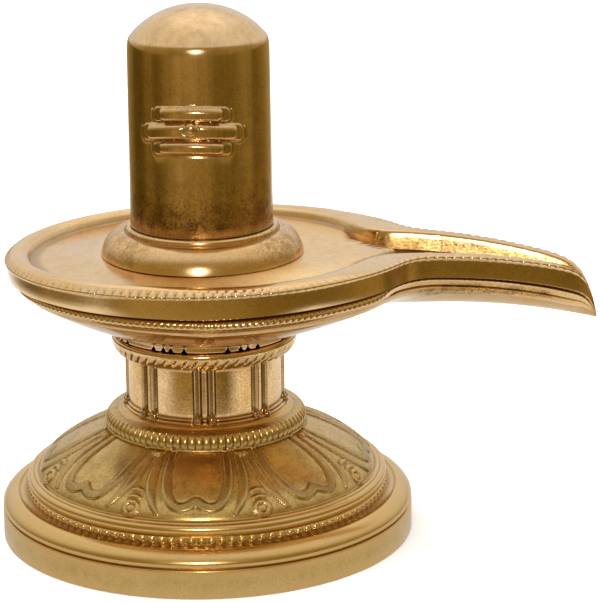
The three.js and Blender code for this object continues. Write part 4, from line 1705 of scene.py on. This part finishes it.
def room_material():
    """What the polished brass mirrors from below: a pale sheet round the object in a dim warm room"""
    material = bpy.data.materials.new("room_below_glow")
    desk = NodeDesk(material)
    parts = desk.add("ShaderNodeSeparateXYZ")
    objects = desk.add("ShaderNodeTexCoord").outputs["Object"]
    desk.feed(parts.inputs["Vector"], objects)
    x, y = parts.outputs["X"], parts.outputs["Y"]
    bearing = desk.maths("ARCTAN2", x, desk.maths("MULTIPLY", y, -1.0))
    room = desk.add("ShaderNodeValToRGB")
    desk.feed(room.inputs["Fac"], desk.remap(bearing, -pi, pi))
    set_ramp(room, [((degrees + 180) / 360, warm(level)) for degrees, level in ROOM_LEVELS])
    behind = desk.remap(y, PAPER_FRONT - PAPER_FRONT_EDGE, PAPER_FRONT + PAPER_FRONT_EDGE)
    across = desk.remap(desk.maths("ABSOLUTE", x, 0), PAPER_HALF_WIDTH + PAPER_SIDE_EDGE,
                        PAPER_HALF_WIDTH - PAPER_SIDE_EDGE)
    away = desk.add("ShaderNodeVectorMath", operation="LENGTH")
    desk.feed(away.inputs[0], objects)
    # The sheet's level rises with distance from the object: a painted shadow of the object near its foot
    paper = desk.add("ShaderNodeValToRGB")
    reach = PAPER_LEVELS[-1][0]
    desk.feed(paper.inputs["Fac"], desk.remap(away.outputs["Value"], 0, reach))
    set_ramp(paper, [(place / reach, warm(level)) for place, level in PAPER_LEVELS])
    turned = desk.maths("SUBTRACT", bearing, GAP_TURN)
    ahead = desk.remap(desk.maths("ABSOLUTE", turned, 0), GAP_OUTER, GAP_INNER)
    beyond = desk.remap(away.outputs["Value"], GAP_START - GAP_EDGE, GAP_START + GAP_EDGE)
    kept = desk.maths("SUBTRACT", 1.0, desk.maths("MULTIPLY", ahead, beyond))
    sheet = desk.maths("MULTIPLY", desk.maths("MULTIPLY", behind, across), kept)
    colour = desk.blend(sheet, room.outputs["Color"], paper.outputs["Color"])
    glow = desk.add("ShaderNodeEmission")
    desk.feed(glow.inputs["Color"], colour)
    desk.feed(desk.add("ShaderNodeOutputMaterial").inputs["Surface"], glow.outputs["Emission"])
    return material


PLANE_SIZE = 40
FLOOR_ROUGHNESS = 0.9
ROOM_HEIGHT = -0.5 * MM
LIGHT_TARGET = (0, 0, 0.05)
# Each light as name, place, width, power and whether the brass mirrors it
LIGHTS = (
    ("overhead_panel", (0, 0.1, 1.4), 1.6, 34, False),
    ("front_flash", (-0.02, -0.48, 0.236), 0.055, 0.5, True),
    ("front_softbox", (-0.02, -0.5, 0.245), 0.22, 0.11, True),
)


def add_plane(name, height, material):
    """A wide level plane for the stage"""
    deselect_all()
    bpy.ops.mesh.primitive_plane_add(size=PLANE_SIZE)
    plane = bpy.context.object
    rename(plane, name)
    plane.location.z = height
    bpy.ops.object.transform_apply(location=True)
    plane.data.materials.append(material)
    return plane


class StageOperator(bpy.types.Operator):
    """Sets the camera, a pale floor, soft light and the room that the brass mirrors from below"""

    bl_idname = "brass_lingam.stage"
    bl_label = "Stage"

    def execute(self, context):
        stage = context.scene.brass_lingam.stage
        context.scene.view_settings.view_transform = "Standard"
        add_camera(stage)
        paint = plain_material("pale_floor_paint", stage.floor_colour, FLOOR_ROUGHNESS)
        floor = add_plane("pale_floor", 0, paint)
        floor.visible_glossy = False
        room = add_plane("room_below", ROOM_HEIGHT, room_material())
        room.visible_camera = False
        room.visible_diffuse = False
        room.visible_shadow = False
        add_world()
        for light in LIGHTS:
            add_area_light(*light)
        return {"FINISHED"}


class LingamPanel(bpy.types.Panel):
    """Lists the pieces of the brass lingam"""

    bl_idname = "VIEW3D_PT_brass_lingam"
    bl_label = "Brass Shiva Lingam"
    bl_space_type = "VIEW_3D"
    bl_region_type = "UI"
    bl_category = "Lingam"

    def draw(self, context):
        for operator in OPERATORS:
            self.layout.operator(operator.bl_idname)


OPERATORS = (StageOperator, BaseOperator, DrumOperator, DishOperator, CollarOperator, LingamOperator)
CLASSES = (
    LingamSizes, CollarSizes, DishSizes, DrumSizes, BaseSizes, BrassColours, StageSettings,
    BrassLingamSettings, *OPERATORS, LingamPanel,
)


def register():
    for cls in CLASSES:
        bpy.utils.register_class(cls)
    bpy.types.Scene.brass_lingam = PointerProperty(type=BrassLingamSettings)


def unregister():
    del bpy.types.Scene.brass_lingam
    for cls in reversed(CLASSES):
        bpy.utils.unregister_class(cls)


def main():
    register()
    bpy.ops.brass_lingam.stage()
    bpy.ops.brass_lingam.lotus_base()
    bpy.ops.brass_lingam.neck_drum()
    bpy.ops.brass_lingam.yoni_dish()
    bpy.ops.brass_lingam.collar_ring()
    bpy.ops.brass_lingam.lingam()


if __name__ == "__main__":
    main()
